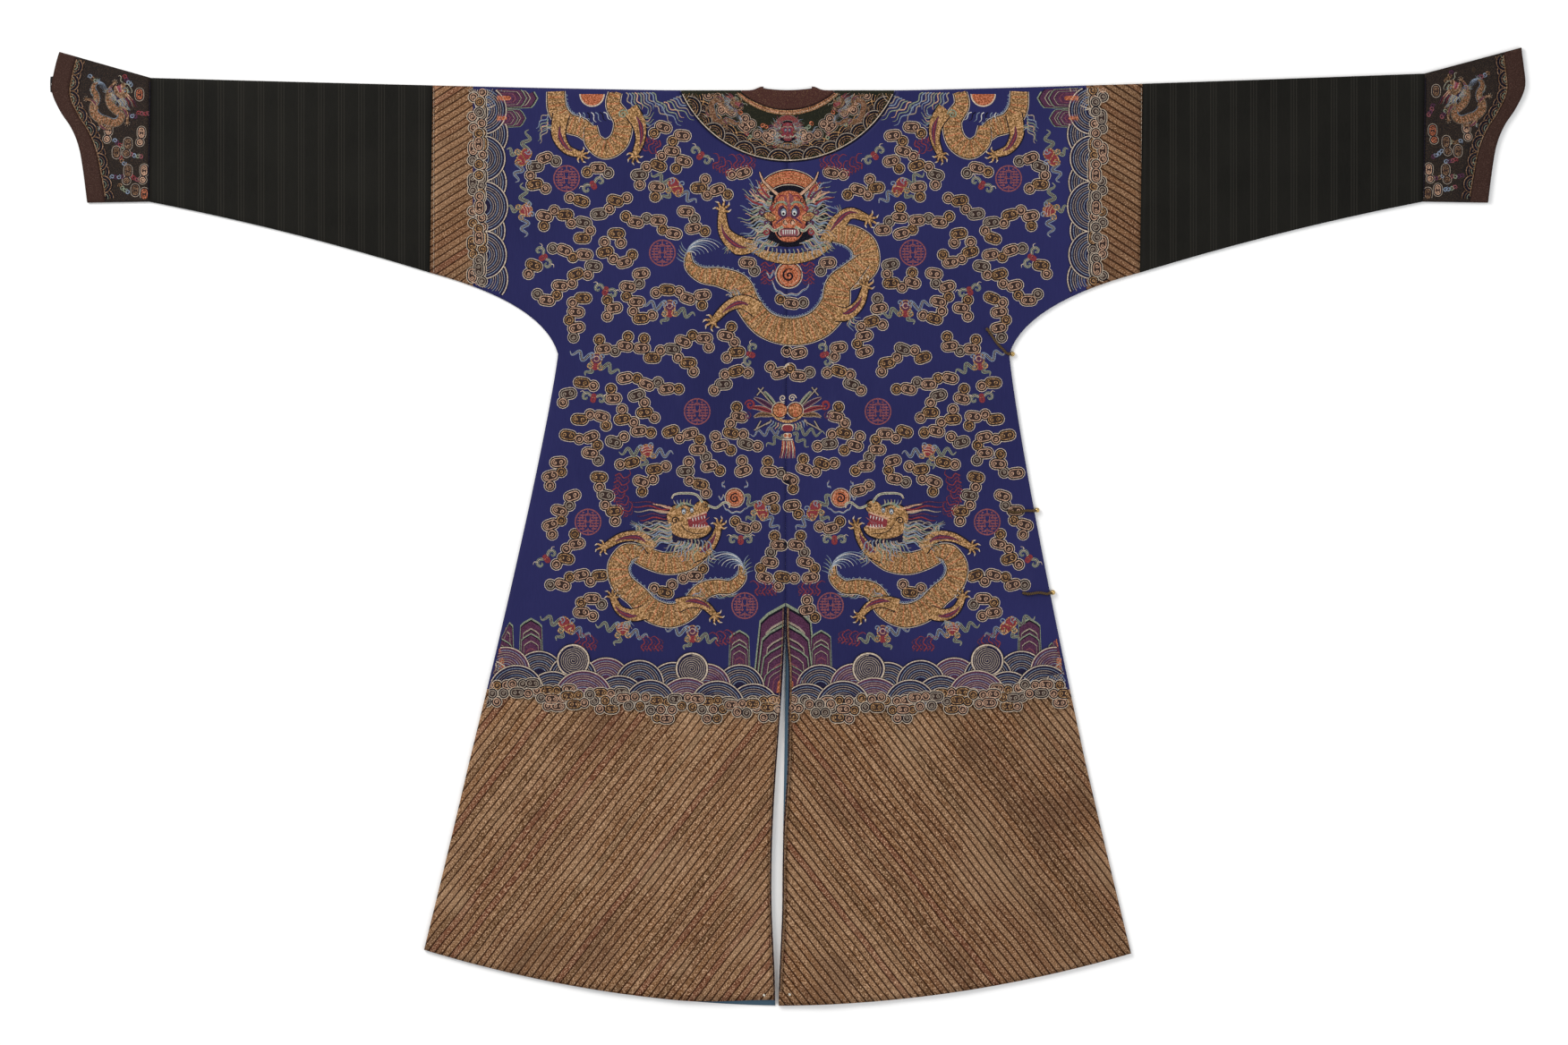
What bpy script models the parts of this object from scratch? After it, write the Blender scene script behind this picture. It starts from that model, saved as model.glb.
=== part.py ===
"""A chinese dragon robe laid flat on its front, with its back up.

The robe is cut as such robes are: each half of the body is one length of silk, folded over the
shoulder and joined at the centre back, so its back and its front are one piece. The right front
has a second panel over it, which closes at the right side. Sleeves, flared cuffs, a round collar
and a low neck band are cut apart and sewn on.

Lengths are in metres. x runs from sleeve to sleeve, y up the robe towards the neck and z up from
the surface that the robe lies on. "depth" is a distance below the shoulder line, so y = -depth.
"""
import math

import bpy

# The cloth
THICKNESS = 0.0015
SEAM_GAP = 0.0003
LAYER_LOW = THICKNESS / 2
LAYER_UNDERLAP = 0.00295
LAYER_BACK = 0.0052
FOLD_STEPS = 4
FOLD_RADIUS = (LAYER_BACK - LAYER_LOW) / 2
FOLD_INSET = FOLD_RADIUS + THICKNESS / 2

# The cut of the body, one half
LENGTH = 1.3675
SLEEVE_SEAM_X = 0.530
SLEEVE_SEAM_DEPTH = 0.2725
UNDERARM_CONTROL = (0.360, 0.3185)
UNDERARM_X = 0.337
UNDERARM_DEPTH = 0.394
HEM_X = 0.528
HEM_CORNER_DEPTH = {-1: 1.2840, 1: 1.2895}
SIDE_FLARE = 1.15
HEM_BOW = 0.0188
OVERLAP_DEPTH = 0.200
OVERLAP_BOW = 0.020
OVERLAP_INSET = 0.012
HEM_LIFT = 0.0085
HEM_LIFT_ACROSS = 0.28

# How the robe lies: the skirt leans a little to the left and the vent stands open
LEAN = -0.015
LEAN_DEPTH = 1.00
VENT_DEPTH = 0.7545
VENT_OPEN_DEPTH = 1.150
VENT_HALF_GAP = 0.0080
VENT_CLOSE_DEPTH = 1.200
VENT_CLOSE = 0.70
SEAM_DRIFT = -0.003
VENT_DRIFT = -0.013
VENT_DRIFT_DEPTH = 1.200
LINING_PEEK = 0.0050

# The arms
SLEEVE_END_X = 0.951
SLEEVE_END_DEPTH = 0.1665
SLEEVE_BOW = 0.006
SHOULDER_RISE = {-1: 0.0186, 1: 0.0250}
SHOULDER_CURVE = 1.2
COLLAR_CLEAR = 0.170
CUFF_EDGE_WIDTH = 0.027

# Neck: half the width at the shoulder fold, depth of the back and depth of the front
NECK_COLUMNS = ("half_width", "back", "front")
COLLAR_OUTER = (0.159, 0.1055, 0.165)
COLLAR_INNER = (0.0693, 0.0293, 0.0903)
BAND_LOWER = (0.0690, 0.0290, 0.0900)
BAND_UPPER = (0.0360, 0.0050, 0.0620)
BAND_BUMP = 0.0058
BAND_BUMP_X = 0.0375
BAND_BUMP_SPREAD = 0.010

# Where the whole robe stands in its own frame: the middle of its outline is the origin
CENTRE_X = 0.00037
SHOULDER_Y = 0.65178

# The outer edge of a cuff from its upper tip down: reach from the middle of the robe, and depth
CUFF_COLUMNS = ("reach", "depth")
CUFF_OUTLINE = (
    (1.0875, -0.0575),
    (1.0945, -0.0320),
    (1.0990, 0.0000),
    (1.0870, 0.0300),
    (1.0700, 0.0560),
    (1.0590, 0.0830),
    (1.0525, 0.1170),
    (1.0460, 0.1680),
)
CUFF_TIP_REACH = {-1: 0.0, 1: 0.0085}

# Soft folds in the back of the robe, each a low ridge between two points
FOLD_COLUMNS = ("top_x", "top_depth", "bottom_x", "bottom_depth", "spread", "height")
FOLDS = (
    (-0.045, 0.760, -0.085, 1.400, 0.046, 0.0022),
    (-0.190, 0.820, -0.285, 1.400, 0.052, 0.0014),
    (-0.330, 0.640, -0.440, 1.320, 0.044, 0.0009),
    (0.034, 0.740, 0.062, 1.400, 0.044, 0.0021),
    (0.185, 0.880, 0.250, 1.400, 0.050, 0.0012),
    (0.300, 0.560, 0.400, 1.240, 0.048, 0.0009),
    (-0.120, 0.210, -0.200, 0.560, 0.056, 0.0007),
    (0.140, 0.260, 0.120, 0.700, 0.060, 0.0008),
)
FOLD_FADE = 0.16
EDGE_FADE = 0.050

# Buttons on cord loops at the right side: inner end of the cord, and depth where it passes the edge
TOGGLE_COLUMNS = ("start_x", "start_depth", "edge_depth")
TOGGLES = (
    (0.297, 0.357, 0.392),
    (0.329, 0.630, 0.628),
    (0.351, 0.751, 0.751),
)
CORD_RADIUS = 0.0016
CORD_STEPS = 6
CORD_TURN_IN = 0.0050
CORD_LEAD_IN = 0.0032
BUTTON_RADIUS = 0.0037
BUTTON_SHANK = math.radians(50)
BEAD_RADIUS = 0.0021
BEAD_FLATNESS = 0.6
VENT_BEADS = {"left": (-0.0350, 1.3515), "right": (0.0030, 1.3505)}
TAB_SIZE = (0.0150, 0.0240, 0.0012)
TAB_CENTRE = (-1.0940, 0.0088, 0.0026)
TAB_ROUNDING = 0.0025

# Divisions of the panels
SHOULDER_ROWS = 7
UNDERARM_ROWS = 5
SKIRT_ROWS = 10
PANEL_COLUMNS = 10
SLEEVE_SECTIONS = 9
SLEEVE_COLUMNS = 5
CUFF_SECTIONS = 3
CUFF_COLUMNS_ACROSS = 10
NECK_STATIONS = 2 * SHOULDER_ROWS
COLLAR_ROWS = 3
BAND_ROWS = 2

ROBE = "chinese_dragon_robe"


def clear_scene():
    for old in list(bpy.data.objects):
        bpy.data.objects.remove(old, do_unlink=True)


def smooth(low, high, value):
    """0 below low, 1 above high and an S curve between them."""
    part = min(max((value - low) / (high - low), 0.0), 1.0)
    return part * part * (3.0 - 2.0 * part)


def mix(first, second, part):
    return tuple(a + (b - a) * part for a, b in zip(first, second))


def unit(vector):
    length = math.hypot(*vector)
    return (vector[0] / length, vector[1] / length)


# The cut, as functions of a side (-1 is left, 1 is right) and of two fractions

def shoulder_depth(side, reach):
    """The shoulder line rises a little towards the cuffs, so its depth is below zero."""
    part = max(reach - COLLAR_CLEAR, 0.0) / (SLEEVE_END_X - COLLAR_CLEAR)
    return -SHOULDER_RISE[side] * part ** SHOULDER_CURVE


def neck_arc(edge, layer, part):
    """A point on a neck edge; part 0 is at the shoulder fold and 1 at the centre line."""
    half_width = edge[0]
    depth = edge[NECK_COLUMNS.index(layer)] - FOLD_INSET
    radius = (half_width ** 2 + depth ** 2) / (2 * depth)
    angle = math.atan2(half_width, radius - depth) * (1 - part)
    drop = depth - radius + radius * math.cos(angle)
    return (radius * math.sin(angle), drop + FOLD_INSET)


def outer_edge(side, level):
    """Sleeve seam for level 0 to 1, underarm for 1 to 2 and side for 2 to 3."""
    if level <= 1:
        top = shoulder_depth(side, SLEEVE_SEAM_X)
        depth = top + (SLEEVE_SEAM_DEPTH - top) * level
        return (SLEEVE_SEAM_X - SEAM_GAP / 2, depth)
    if level <= 2:
        part = level - 1
        start = (SLEEVE_SEAM_X - SEAM_GAP / 2, SLEEVE_SEAM_DEPTH)
        end = (UNDERARM_X, UNDERARM_DEPTH)
        first = mix(start, UNDERARM_CONTROL, part)
        return mix(first, mix(UNDERARM_CONTROL, end, part), part)
    depth = UNDERARM_DEPTH + (HEM_CORNER_DEPTH[side] - UNDERARM_DEPTH) * (level - 2)
    return (UNDERARM_X + (HEM_X - UNDERARM_X) * (level - 2) ** SIDE_FLARE, depth)


def centre_edge(layer, level):
    """Neck edge for level 0 to 1, then the centre line down to the hem."""
    gapped = tuple(value + SEAM_GAP for value in COLLAR_OUTER)
    if level <= 1:
        return neck_arc(gapped, layer, level)
    neck_depth = gapped[NECK_COLUMNS.index(layer)]
    if level <= 2:
        return (0.0, neck_depth + (OVERLAP_DEPTH - neck_depth) * (level - 1))
    return (0.0, OVERLAP_DEPTH + (LENGTH - OVERLAP_DEPTH) * (level - 2))


def row_bow(level):
    """How far the middle of a row hangs below the straight line between its ends."""
    if level <= 1:
        return 0.0
    if level <= 2:
        return OVERLAP_BOW * (level - 1)
    return OVERLAP_BOW + (HEM_BOW - OVERLAP_BOW) * (level - 2)


def flat_point(side, layer, level, across):
    """A point of the cut before it leans: reach from the centre line, and depth."""
    reach, depth = mix(centre_edge(layer, level), outer_edge(side, level), across)
    if level == 0:
        depth = shoulder_depth(side, reach) + FOLD_INSET
    return (reach, depth + row_bow(level) * 4 * across * (1 - across))


def vent_opening(side, layer, depth):
    """How far a centre edge stands off the centre line."""
    wide = smooth(VENT_DEPTH, VENT_OPEN_DEPTH, depth)
    wide *= 1 - VENT_CLOSE * smooth(VENT_CLOSE_DEPTH, LENGTH, depth)
    gap = SEAM_GAP / 2 + VENT_HALF_GAP * wide
    if side > 0 and layer == "back":
        upper = smooth(VENT_DEPTH + 0.05, VENT_DEPTH + 0.12, depth)
        gap += LINING_PEEK * upper * (1 - smooth(1.00, 1.12, depth))
    return gap


def lay(side, layer, point, across):
    """Where a point of the cut lies once the skirt leans and the vent opens."""
    reach, depth = point
    drift = SEAM_DRIFT * smooth(0, VENT_DEPTH, depth)
    drift += VENT_DRIFT * smooth(VENT_DEPTH, VENT_DRIFT_DEPTH, depth)
    lean = LEAN * min(max(depth, 0.0) / LEAN_DEPTH, 1.0)
    if depth > COLLAR_OUTER[1]:
        reach += vent_opening(side, layer, depth) * (1 - across)
    return (side * reach + drift * (1 - across) + lean * across, -depth)


def panel_point(side, layer, level, across):
    """A point of a body panel, in x and y."""
    point = flat_point(side, layer, level, across)
    x, y = lay(side, layer, point, across)
    if layer == "back" and side < 0:
        y += HEM_LIFT * smooth(2.6, 3.0, level) * (1 - smooth(0.0, HEM_LIFT_ACROSS, across))
    return (x, y)


def side_normal(side, layer, level):
    """The way out across the underarm or side fold, and the fold's stretch along it."""
    if level <= 1:
        return (0.0, -1.0)
    step = 0.02
    above = panel_point(side, layer, max(level - step, 1.0), 1.0)
    below = panel_point(side, layer, min(level + step, 3.0), 1.0)
    along = unit((below[0] - above[0], below[1] - above[1]))
    return (-along[1] * side, along[0] * side)


def ridge_height(x, depth):
    """Height of the soft folds at a point."""
    total = 0.0
    for top_x, top_depth, bottom_x, bottom_depth, spread, height in FOLDS:
        part = (depth - top_depth) / (bottom_depth - top_depth)
        if 0.0 < part < 1.0:
            offset = (x - top_x - (bottom_x - top_x) * part) / spread
            rise = smooth(0.0, FOLD_FADE, (depth - top_depth))
            rise *= 1.0 if bottom_depth > LENGTH else smooth(0.0, FOLD_FADE, bottom_depth - depth)
            total += height * rise * math.exp(-offset * offset)
    return total


def back_height(side, level, across, x, y):
    """Middle of the back's cloth above the surface; flat where the back is folded or sewn."""
    if level <= 0:
        return LAYER_BACK
    clear = smooth(0.0, EDGE_FADE, (1 - across) * SLEEVE_SEAM_X) if level > 1 else 0.0
    return LAYER_BACK + clear * ridge_height(x, -y)


def front_height(side, level):
    """Middle of the front's cloth; the right front lies on the overlap panel."""
    if side < 0:
        return LAYER_LOW
    return LAYER_LOW + (LAYER_UNDERLAP - LAYER_LOW) * smooth(1.25, 1.75, level)


class Sheet:
    """Points with names, and the faces between them."""

    def __init__(self):
        self.points = []
        self.order = {}
        self.faces = []

    def point(self, name, position):
        self.order[name] = len(self.points)
        self.points.append(position)

    def same(self, name, other):
        self.order[name] = self.order[other]

    def face(self, names):
        self.faces.append([self.order[name] for name in names])


def cloth(name, points, faces, finish):
    """A wall of cloth about an open surface."""
    mesh = bpy.data.meshes.new(name)
    mesh.from_pydata(points, [], faces)
    mesh.materials.append(finish)
    mesh.shade_smooth()
    piece = bpy.data.objects.new(name, mesh)
    wall = piece.modifiers.new("wall", "SOLIDIFY")
    wall.thickness = THICKNESS
    wall.offset = 0.0
    wall.use_even_offset = True
    wall.use_rim = True
    add_piece(piece)
    return piece


def add_piece(piece):
    bpy.data.collections[ROBE].objects.link(piece)
    piece.parent = bpy.data.objects["robe_centre"]


def finish_of(name, colour, roughness, metallic=0.0):
    finish = bpy.data.materials.new(name)
    finish.use_nodes = True
    shader = finish.node_tree.nodes["Principled BSDF"]
    shader.inputs["Base Color"].default_value = (*colour, 1.0)
    shader.inputs["Roughness"].default_value = roughness
    shader.inputs["Metallic"].default_value = metallic
    finish.diffuse_color = (*colour, 1.0)
    return finish


def spaced(start, end, count):
    return [start + (end - start) * i / count for i in range(count + 1)]


def body_levels():
    upper = spaced(0.0, 1.0, SHOULDER_ROWS)
    middle = spaced(1.0, 2.0, UNDERARM_ROWS)
    return upper + middle[1:] + spaced(2.0, 3.0, SKIRT_ROWS)[1:]


def body_half(name, side, finish):
    """Back and front in one, folded at the shoulder and closed down the underarm and side."""
    sheet = Sheet()
    levels = body_levels()
    columns = range(PANEL_COLUMNS + 1)
    last = PANEL_COLUMNS
    folded = range(SHOULDER_ROWS, len(levels))
    for row, level in enumerate(levels):
        for column in columns:
            across = column / last
            for layer in ("back", "front"):
                x, y = panel_point(side, layer, level, across)
                z = back_height(side, level, across, x, y)
                if layer == "front":
                    z = front_height(side, level)
                if column == last and row in folded:
                    out = side_normal(side, "back", level)
                    inset = (LAYER_BACK - front_height(side, level) + THICKNESS) / 2
                    x -= out[0] * inset
                    y -= out[1] * inset
                sheet.point((layer, row, column), (x, y, z))
    for row in range(len(levels) - 1):
        for column in range(last):
            corners = ((row, column), (row, column + 1), (row + 1, column + 1), (row + 1, column))
            sheet.face([("back", *corner) for corner in corners])
            sheet.face([("front", *corner) for corner in reversed(corners)])
    shoulder_fold(sheet, columns)
    side_fold(sheet, side, levels, folded, last)
    return cloth(name, sheet.points, sheet.faces, finish)


def shoulder_fold(sheet, columns):
    for column in columns:
        add_fold(sheet, ("shoulder", column), (0, column), (0.0, 1.0))
    for column in columns[:-1]:
        for step in range(FOLD_STEPS):
            sheet.face([
                ("shoulder", column + 1, step),
                ("shoulder", column, step),
                ("shoulder", column, step + 1),
                ("shoulder", column + 1, step + 1),
            ])


def side_fold(sheet, side, levels, folded, last):
    for row in folded:
        add_fold(sheet, ("side", row), (row, last), side_normal(side, "back", levels[row]))
    for row in folded[:-1]:
        for step in range(FOLD_STEPS):
            sheet.face([
                ("side", row + 1, step),
                ("side", row, step),
                ("side", row, step + 1),
                ("side", row + 1, step + 1),
            ])


def add_fold(sheet, name, place, outward):
    """The points round a fold, sharing the two layers' own edge points."""
    back = sheet.points[sheet.order[("back", *place)]]
    front = sheet.points[sheet.order[("front", *place)]]
    middle = (back[2] + front[2]) / 2
    radius = (back[2] - front[2]) / 2
    sheet.same((*name, 0), ("back", *place))
    sheet.same((*name, FOLD_STEPS), ("front", *place))
    for step in range(1, FOLD_STEPS):
        angle = math.pi * step / FOLD_STEPS
        out = radius * math.sin(angle)
        x = back[0] + outward[0] * out
        y = back[1] + outward[1] * out
        sheet.point((*name, step), (x, y, middle + radius * math.cos(angle)))


def overlap_panel(name, finish):
    """The outer right front, under everything else: its upper edge runs neck to underarm."""
    rows = SKIRT_ROWS
    points = []
    for level in spaced(2.012, 3.0, rows):
        reach = outer_edge(1, level)[0]
        for column in range(PANEL_COLUMNS + 1):
            across = column / PANEL_COLUMNS * (1 - OVERLAP_INSET / reach)
            points.append((*panel_point(1, "front", level, across), LAYER_LOW))
    return cloth(name, points, grid_faces(rows, PANEL_COLUMNS), finish)


def grid_faces(rows, columns, closed=False):
    """Quads of a grid held row by row; a closed one joins its last column to its first."""
    width = columns if closed else columns + 1
    faces = []
    for row in range(rows):
        for column in range(columns):
            beside = (column + 1) % width
            low = row * width
            high = low + width
            faces.append([low + column, low + beside, high + beside, high + column])
    return faces


def flat_ring(section, columns):
    """A flattened ring: along the back layer, round the lower fold, and back along the front.

    section(across) gives x and y for a fraction from the upper fold to the lower one.
    """
    top = section(0.0)
    bottom = section(1.0)
    up = unit((top[0] - section(0.1)[0], top[1] - section(0.1)[1]))
    down = unit((bottom[0] - section(0.9)[0], bottom[1] - section(0.9)[1]))
    inner = [section(i / columns) for i in range(1, columns)]
    first = (top[0] - up[0] * FOLD_INSET, top[1] - up[1] * FOLD_INSET)
    final = (bottom[0] - down[0] * FOLD_INSET, bottom[1] - down[1] * FOLD_INSET)
    line = [first, *inner, final]
    ring = [(x, y, LAYER_BACK) for x, y in line]
    ring += turn_round(final, down, 1)
    ring += [(x, y, LAYER_LOW) for x, y in reversed(line)]
    ring += turn_round(first, up, -1)
    return ring


def turn_round(end, outward, way):
    """Points round a fold; way 1 goes from the back layer down and -1 comes up again."""
    middle = (LAYER_BACK + LAYER_LOW) / 2
    for step in range(1, FOLD_STEPS):
        angle = math.pi * step / FOLD_STEPS
        out = FOLD_RADIUS * math.sin(angle)
        height = middle + way * FOLD_RADIUS * math.cos(angle)
        yield (end[0] + outward[0] * out, end[1] + outward[1] * out, height)


def tube(name, sections, columns, finish):
    """A flattened tube through sections, each a function for flat_ring."""
    points = []
    for section in sections:
        points.extend(flat_ring(section, columns))
    around = 2 * (columns + 1) + 2 * (FOLD_STEPS - 1)
    faces = grid_faces(len(sections) - 1, around, closed=True)
    return cloth(name, points, faces, finish)


def sleeve_section(side, part):
    """A line across the sleeve from its upper fold to its lower one."""
    reach = SLEEVE_SEAM_X + SEAM_GAP / 2
    reach += (SLEEVE_END_X - SLEEVE_SEAM_X - SEAM_GAP) * part
    top = shoulder_depth(side, reach)
    bottom = SLEEVE_SEAM_DEPTH + (SLEEVE_END_DEPTH - SLEEVE_SEAM_DEPTH) * part
    bottom -= SLEEVE_BOW * 4 * part * (1 - part)

    def section(across):
        depth = top + (bottom - top) * across
        lean = LEAN * max(depth, 0.0) / LEAN_DEPTH
        return (side * reach + lean, -depth)

    return section


def cuff_outer(side, across):
    """A point on the flared outer edge, on a smooth curve through its outline."""
    count = len(CUFF_OUTLINE) - 1
    place = min(across * count, count - 1e-9)
    index = int(place)
    part = place - index
    before = CUFF_OUTLINE[max(index - 1, 0)]
    start = CUFF_OUTLINE[index]
    end = CUFF_OUTLINE[index + 1]
    after = CUFF_OUTLINE[min(index + 2, count)]
    reach, depth = (spline(*four, part) for four in zip(before, start, end, after))
    extra = SHOULDER_RISE[side] - SHOULDER_RISE[-1]
    reach += CUFF_TIP_REACH[side] * (1 - across) ** 4
    return (side * reach, -depth + extra * (1 - across))


def spline(before, start, end, after, part):
    """Catmull-Rom curve from start to end."""
    slope_in = (end - before) / 2
    slope_out = (after - start) / 2
    square = part * part
    cube = square * part
    value = start * (2 * cube - 3 * square + 1) + slope_in * (cube - 2 * square + part)
    return value + end * (3 * square - 2 * cube) + slope_out * (cube - square)


def cuff_section(side, part, band):
    """A line across the cuff; band is how far its end stays short of the outer edge."""
    inner = sleeve_section(side, 1.0)

    def section(across):
        start = inner(across)
        start = (start[0] + side * SEAM_GAP, start[1])
        end = cuff_outer(side, across)
        reach = 1 - band / math.hypot(end[0] - start[0], end[1] - start[1])
        return mix(start, end, reach * part)

    return section


def edge_section(side, part):
    """A line across the burgundy edging of a cuff."""

    def section(across):
        start = cuff_section(side, 1.0, CUFF_EDGE_WIDTH)(across)
        return mix(start, cuff_outer(side, across), part)

    return section


def round_edge(name, outer, inner, rows, finish, bump=0.0):
    """A neck piece: a ring folded over the shoulder line, its back above its front."""
    points = []
    for row in range(rows + 1):
        part = row / rows
        stations = spaced(0.0, 1.0, NECK_STATIONS)
        back = [neck_point(outer, inner, "back", part, station) for station in stations]
        front = [neck_point(outer, inner, "front", part, station) for station in stations]
        lift = bump * math.exp(-((abs(back[0][0]) - BAND_BUMP_X) / BAND_BUMP_SPREAD) ** 2)
        back = [raised(point, lift) for point in back]
        front = [raised(point, lift) for point in front]
        ring = [(x, y, LAYER_BACK) for x, y in back]
        ring += turn_round(back[-1], (0.0, 1.0), 1)
        ring += [(x, y, LAYER_LOW) for x, y in reversed(front)]
        ring += turn_round(front[0], (0.0, 1.0), -1)
        points.extend(ring)
    around = 2 * (NECK_STATIONS + 1) + 2 * (FOLD_STEPS - 1)
    return cloth(name, points, grid_faces(rows, around, closed=True), finish)


def raised(point, lift):
    """Lifts the part of a neck piece that is next to the shoulder fold."""
    near = 1 - smooth(FOLD_INSET, FOLD_INSET + BAND_BUMP_SPREAD, -point[1])
    return (point[0], point[1] + lift * near)


def neck_point(outer, inner, layer, part, station):
    """A point of a neck piece; station runs 0 to 1 from the left fold to the right one."""
    side = -1 if station < 0.5 else 1
    along = 1 - abs(2 * station - 1)
    reach, depth = mix(neck_arc(outer, layer, along), neck_arc(inner, layer, along), part)
    return (side * reach, -depth)


def toggle(number, cord_finish, metal_finish):
    """A cord sewn on the back at the right side, and the ball button at its end."""
    start_x, start_depth, edge_depth = TOGGLES[number - 1]
    edge, outward = side_edge(edge_depth)
    stand_off = 2 * SEAM_GAP + BUTTON_RADIUS
    ball = (edge[0] + outward[0] * stand_off, edge[1] + outward[1] * stand_off, BUTTON_RADIUS)
    bed = LAYER_BACK + THICKNESS / 2 + 2 * SEAM_GAP + CORD_RADIUS
    route = []
    for step in range(CORD_STEPS + 1):
        part = step / CORD_STEPS
        x = start_x + (edge[0] - CORD_TURN_IN * outward[0] - start_x) * part
        y = -start_depth + (edge[1] - CORD_TURN_IN * outward[1] + start_depth) * part
        route.append((x, y, bed + ridge_height(x, -y)))
    for reach in (BUTTON_RADIUS + CORD_LEAD_IN, BUTTON_RADIUS + 2 * SEAM_GAP):
        flat = reach * math.cos(BUTTON_SHANK)
        x = ball[0] - outward[0] * flat
        y = ball[1] - outward[1] * flat
        route.append((x, y, ball[2] + reach * math.sin(BUTTON_SHANK)))
    cord("toggle_loop_%d" % number, route, cord_finish)
    bpy.ops.mesh.primitive_uv_sphere_add(
        segments=14, ring_count=9, radius=BUTTON_RADIUS, location=(0.0, 0.0, 0.0))
    button = bpy.context.object
    adopt(button, "button_%d" % number, metal_finish)
    button.location = ball


def side_edge(depth):
    """A point on the right side's outline, and the way out from it."""
    outline = [panel_point(1, "back", level, 1.0) for level in body_levels() if level > 1.5]
    for start, end in zip(outline, outline[1:]):
        if -start[1] <= depth <= -end[1]:
            part = (depth + start[1]) / (start[1] - end[1])
            along = unit((end[0] - start[0], end[1] - start[1]))
            return mix(start, end, part), (-along[1], along[0])
    raise ValueError("no side edge at depth %.3f" % depth)


def cord(name, route, finish):
    curve = bpy.data.curves.new(name, "CURVE")
    curve.dimensions = "3D"
    curve.bevel_depth = CORD_RADIUS
    curve.bevel_resolution = 2
    curve.use_fill_caps = True
    curve.materials.append(finish)
    spline_of = curve.splines.new("POLY")
    spline_of.points.add(len(route) - 1)
    for place, position in zip(spline_of.points, route):
        place.co = (*position, 1.0)
    add_piece(bpy.data.objects.new(name, curve))


def adopt(piece, name, finish):
    """Takes a primitive into the robe under its own name."""
    for group in list(piece.users_collection):
        group.objects.unlink(piece)
    piece.name = name
    piece.data.name = name
    piece.data.materials.append(finish)
    piece.data.shade_smooth()
    add_piece(piece)


def vent_bead(name, place, finish):
    x, depth = place
    bpy.ops.mesh.primitive_uv_sphere_add(
        segments=12, ring_count=8, radius=BEAD_RADIUS, location=(0.0, 0.0, 0.0))
    bead = bpy.context.object
    for vertex in bead.data.vertices:
        vertex.co.z *= BEAD_FLATNESS
    adopt(bead, name, finish)
    surface = LAYER_BACK + THICKNESS / 2 + ridge_height(x, depth)
    bead.location = (x, -depth, surface + 2 * SEAM_GAP + BEAD_RADIUS * BEAD_FLATNESS)


def cuff_tab(name, finish):
    bpy.ops.mesh.primitive_cube_add(size=1.0, location=(0.0, 0.0, 0.0))
    tab = bpy.context.object
    for vertex in tab.data.vertices:
        vertex.co = [value * size for value, size in zip(vertex.co, TAB_SIZE)]
    rounding = tab.modifiers.new("rounding", "BEVEL")
    rounding.width = TAB_ROUNDING
    rounding.segments = 3
    rounding.limit_method = "WEIGHT"
    weights = tab.data.attributes.new("bevel_weight_edge", "FLOAT", "EDGE")
    for edge in tab.data.edges:
        ends = [tab.data.vertices[i].co for i in edge.vertices]
        upright = abs(ends[0].z - ends[1].z) > TAB_SIZE[2] / 2
        weights.data[edge.index].value = 1.0 if upright else 0.0
    adopt(tab, name, finish)
    tab.location = TAB_CENTRE


def main():
    clear_scene()
    group = bpy.data.collections.new(ROBE)
    bpy.context.scene.collection.children.link(group)
    centre = bpy.data.objects.new("robe_centre", None)
    centre.location = (CENTRE_X, SHOULDER_Y, 0.0)
    group.objects.link(centre)

    blue_silk = finish_of("blue_silk", (0.028, 0.026, 0.13), 0.45)
    black_silk = finish_of("black_silk", (0.014, 0.012, 0.010), 0.55)
    cuff_silk = finish_of("cuff_silk", (0.05, 0.03, 0.022), 0.55)
    burgundy = finish_of("burgundy_brocade", (0.07, 0.024, 0.026), 0.5)
    collar_silk = finish_of("collar_silk", (0.03, 0.032, 0.028), 0.5)
    cord_finish = finish_of("olive_cord", (0.09, 0.065, 0.04), 0.7)
    brass = finish_of("brass", (0.62, 0.43, 0.16), 0.3, 1.0)
    tape = finish_of("black_tape", (0.012, 0.012, 0.013), 0.8)

    body_half("body_left", -1, blue_silk)
    body_half("body_right", 1, blue_silk)
    overlap_panel("front_overlap", blue_silk)
    for side, word in ((-1, "left"), (1, "right")):
        parts = spaced(0.0, 1.0, SLEEVE_SECTIONS)
        sleeve = [sleeve_section(side, part) for part in parts]
        tube("sleeve_" + word, sleeve, SLEEVE_COLUMNS, black_silk)
        band = CUFF_EDGE_WIDTH + SEAM_GAP
        cuff = [cuff_section(side, part, band) for part in spaced(0.0, 1.0, CUFF_SECTIONS)]
        tube("cuff_" + word, cuff, CUFF_COLUMNS_ACROSS, cuff_silk)
        edging = [edge_section(side, part) for part in (0.0, 0.5, 1.0)]
        tube("cuff_edge_" + word, edging, CUFF_COLUMNS_ACROSS, burgundy)
    round_edge("collar", COLLAR_OUTER, COLLAR_INNER, COLLAR_ROWS, collar_silk)
    round_edge("neck_band", BAND_LOWER, BAND_UPPER, BAND_ROWS, burgundy, BAND_BUMP)
    for number in range(1, len(TOGGLES) + 1):
        toggle(number, cord_finish, brass)
    for word, place in VENT_BEADS.items():
        vent_bead("vent_bead_" + word, place, brass)
    cuff_tab("cuff_tab", tape)


main()
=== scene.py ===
"""The looks of a chinese dragon robe that lies flat with its embroidered back up.

The cloth repeats the cut of the CAD panels on finer grids, and the embroidery is laid on it as
raised threads. x runs from sleeve to sleeve and y up the robe, from the shoulder line at the neck,
so a depth below that line is -y. Lengths are in metres, and motifs are drawn in millimetres.
"""
import math

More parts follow.
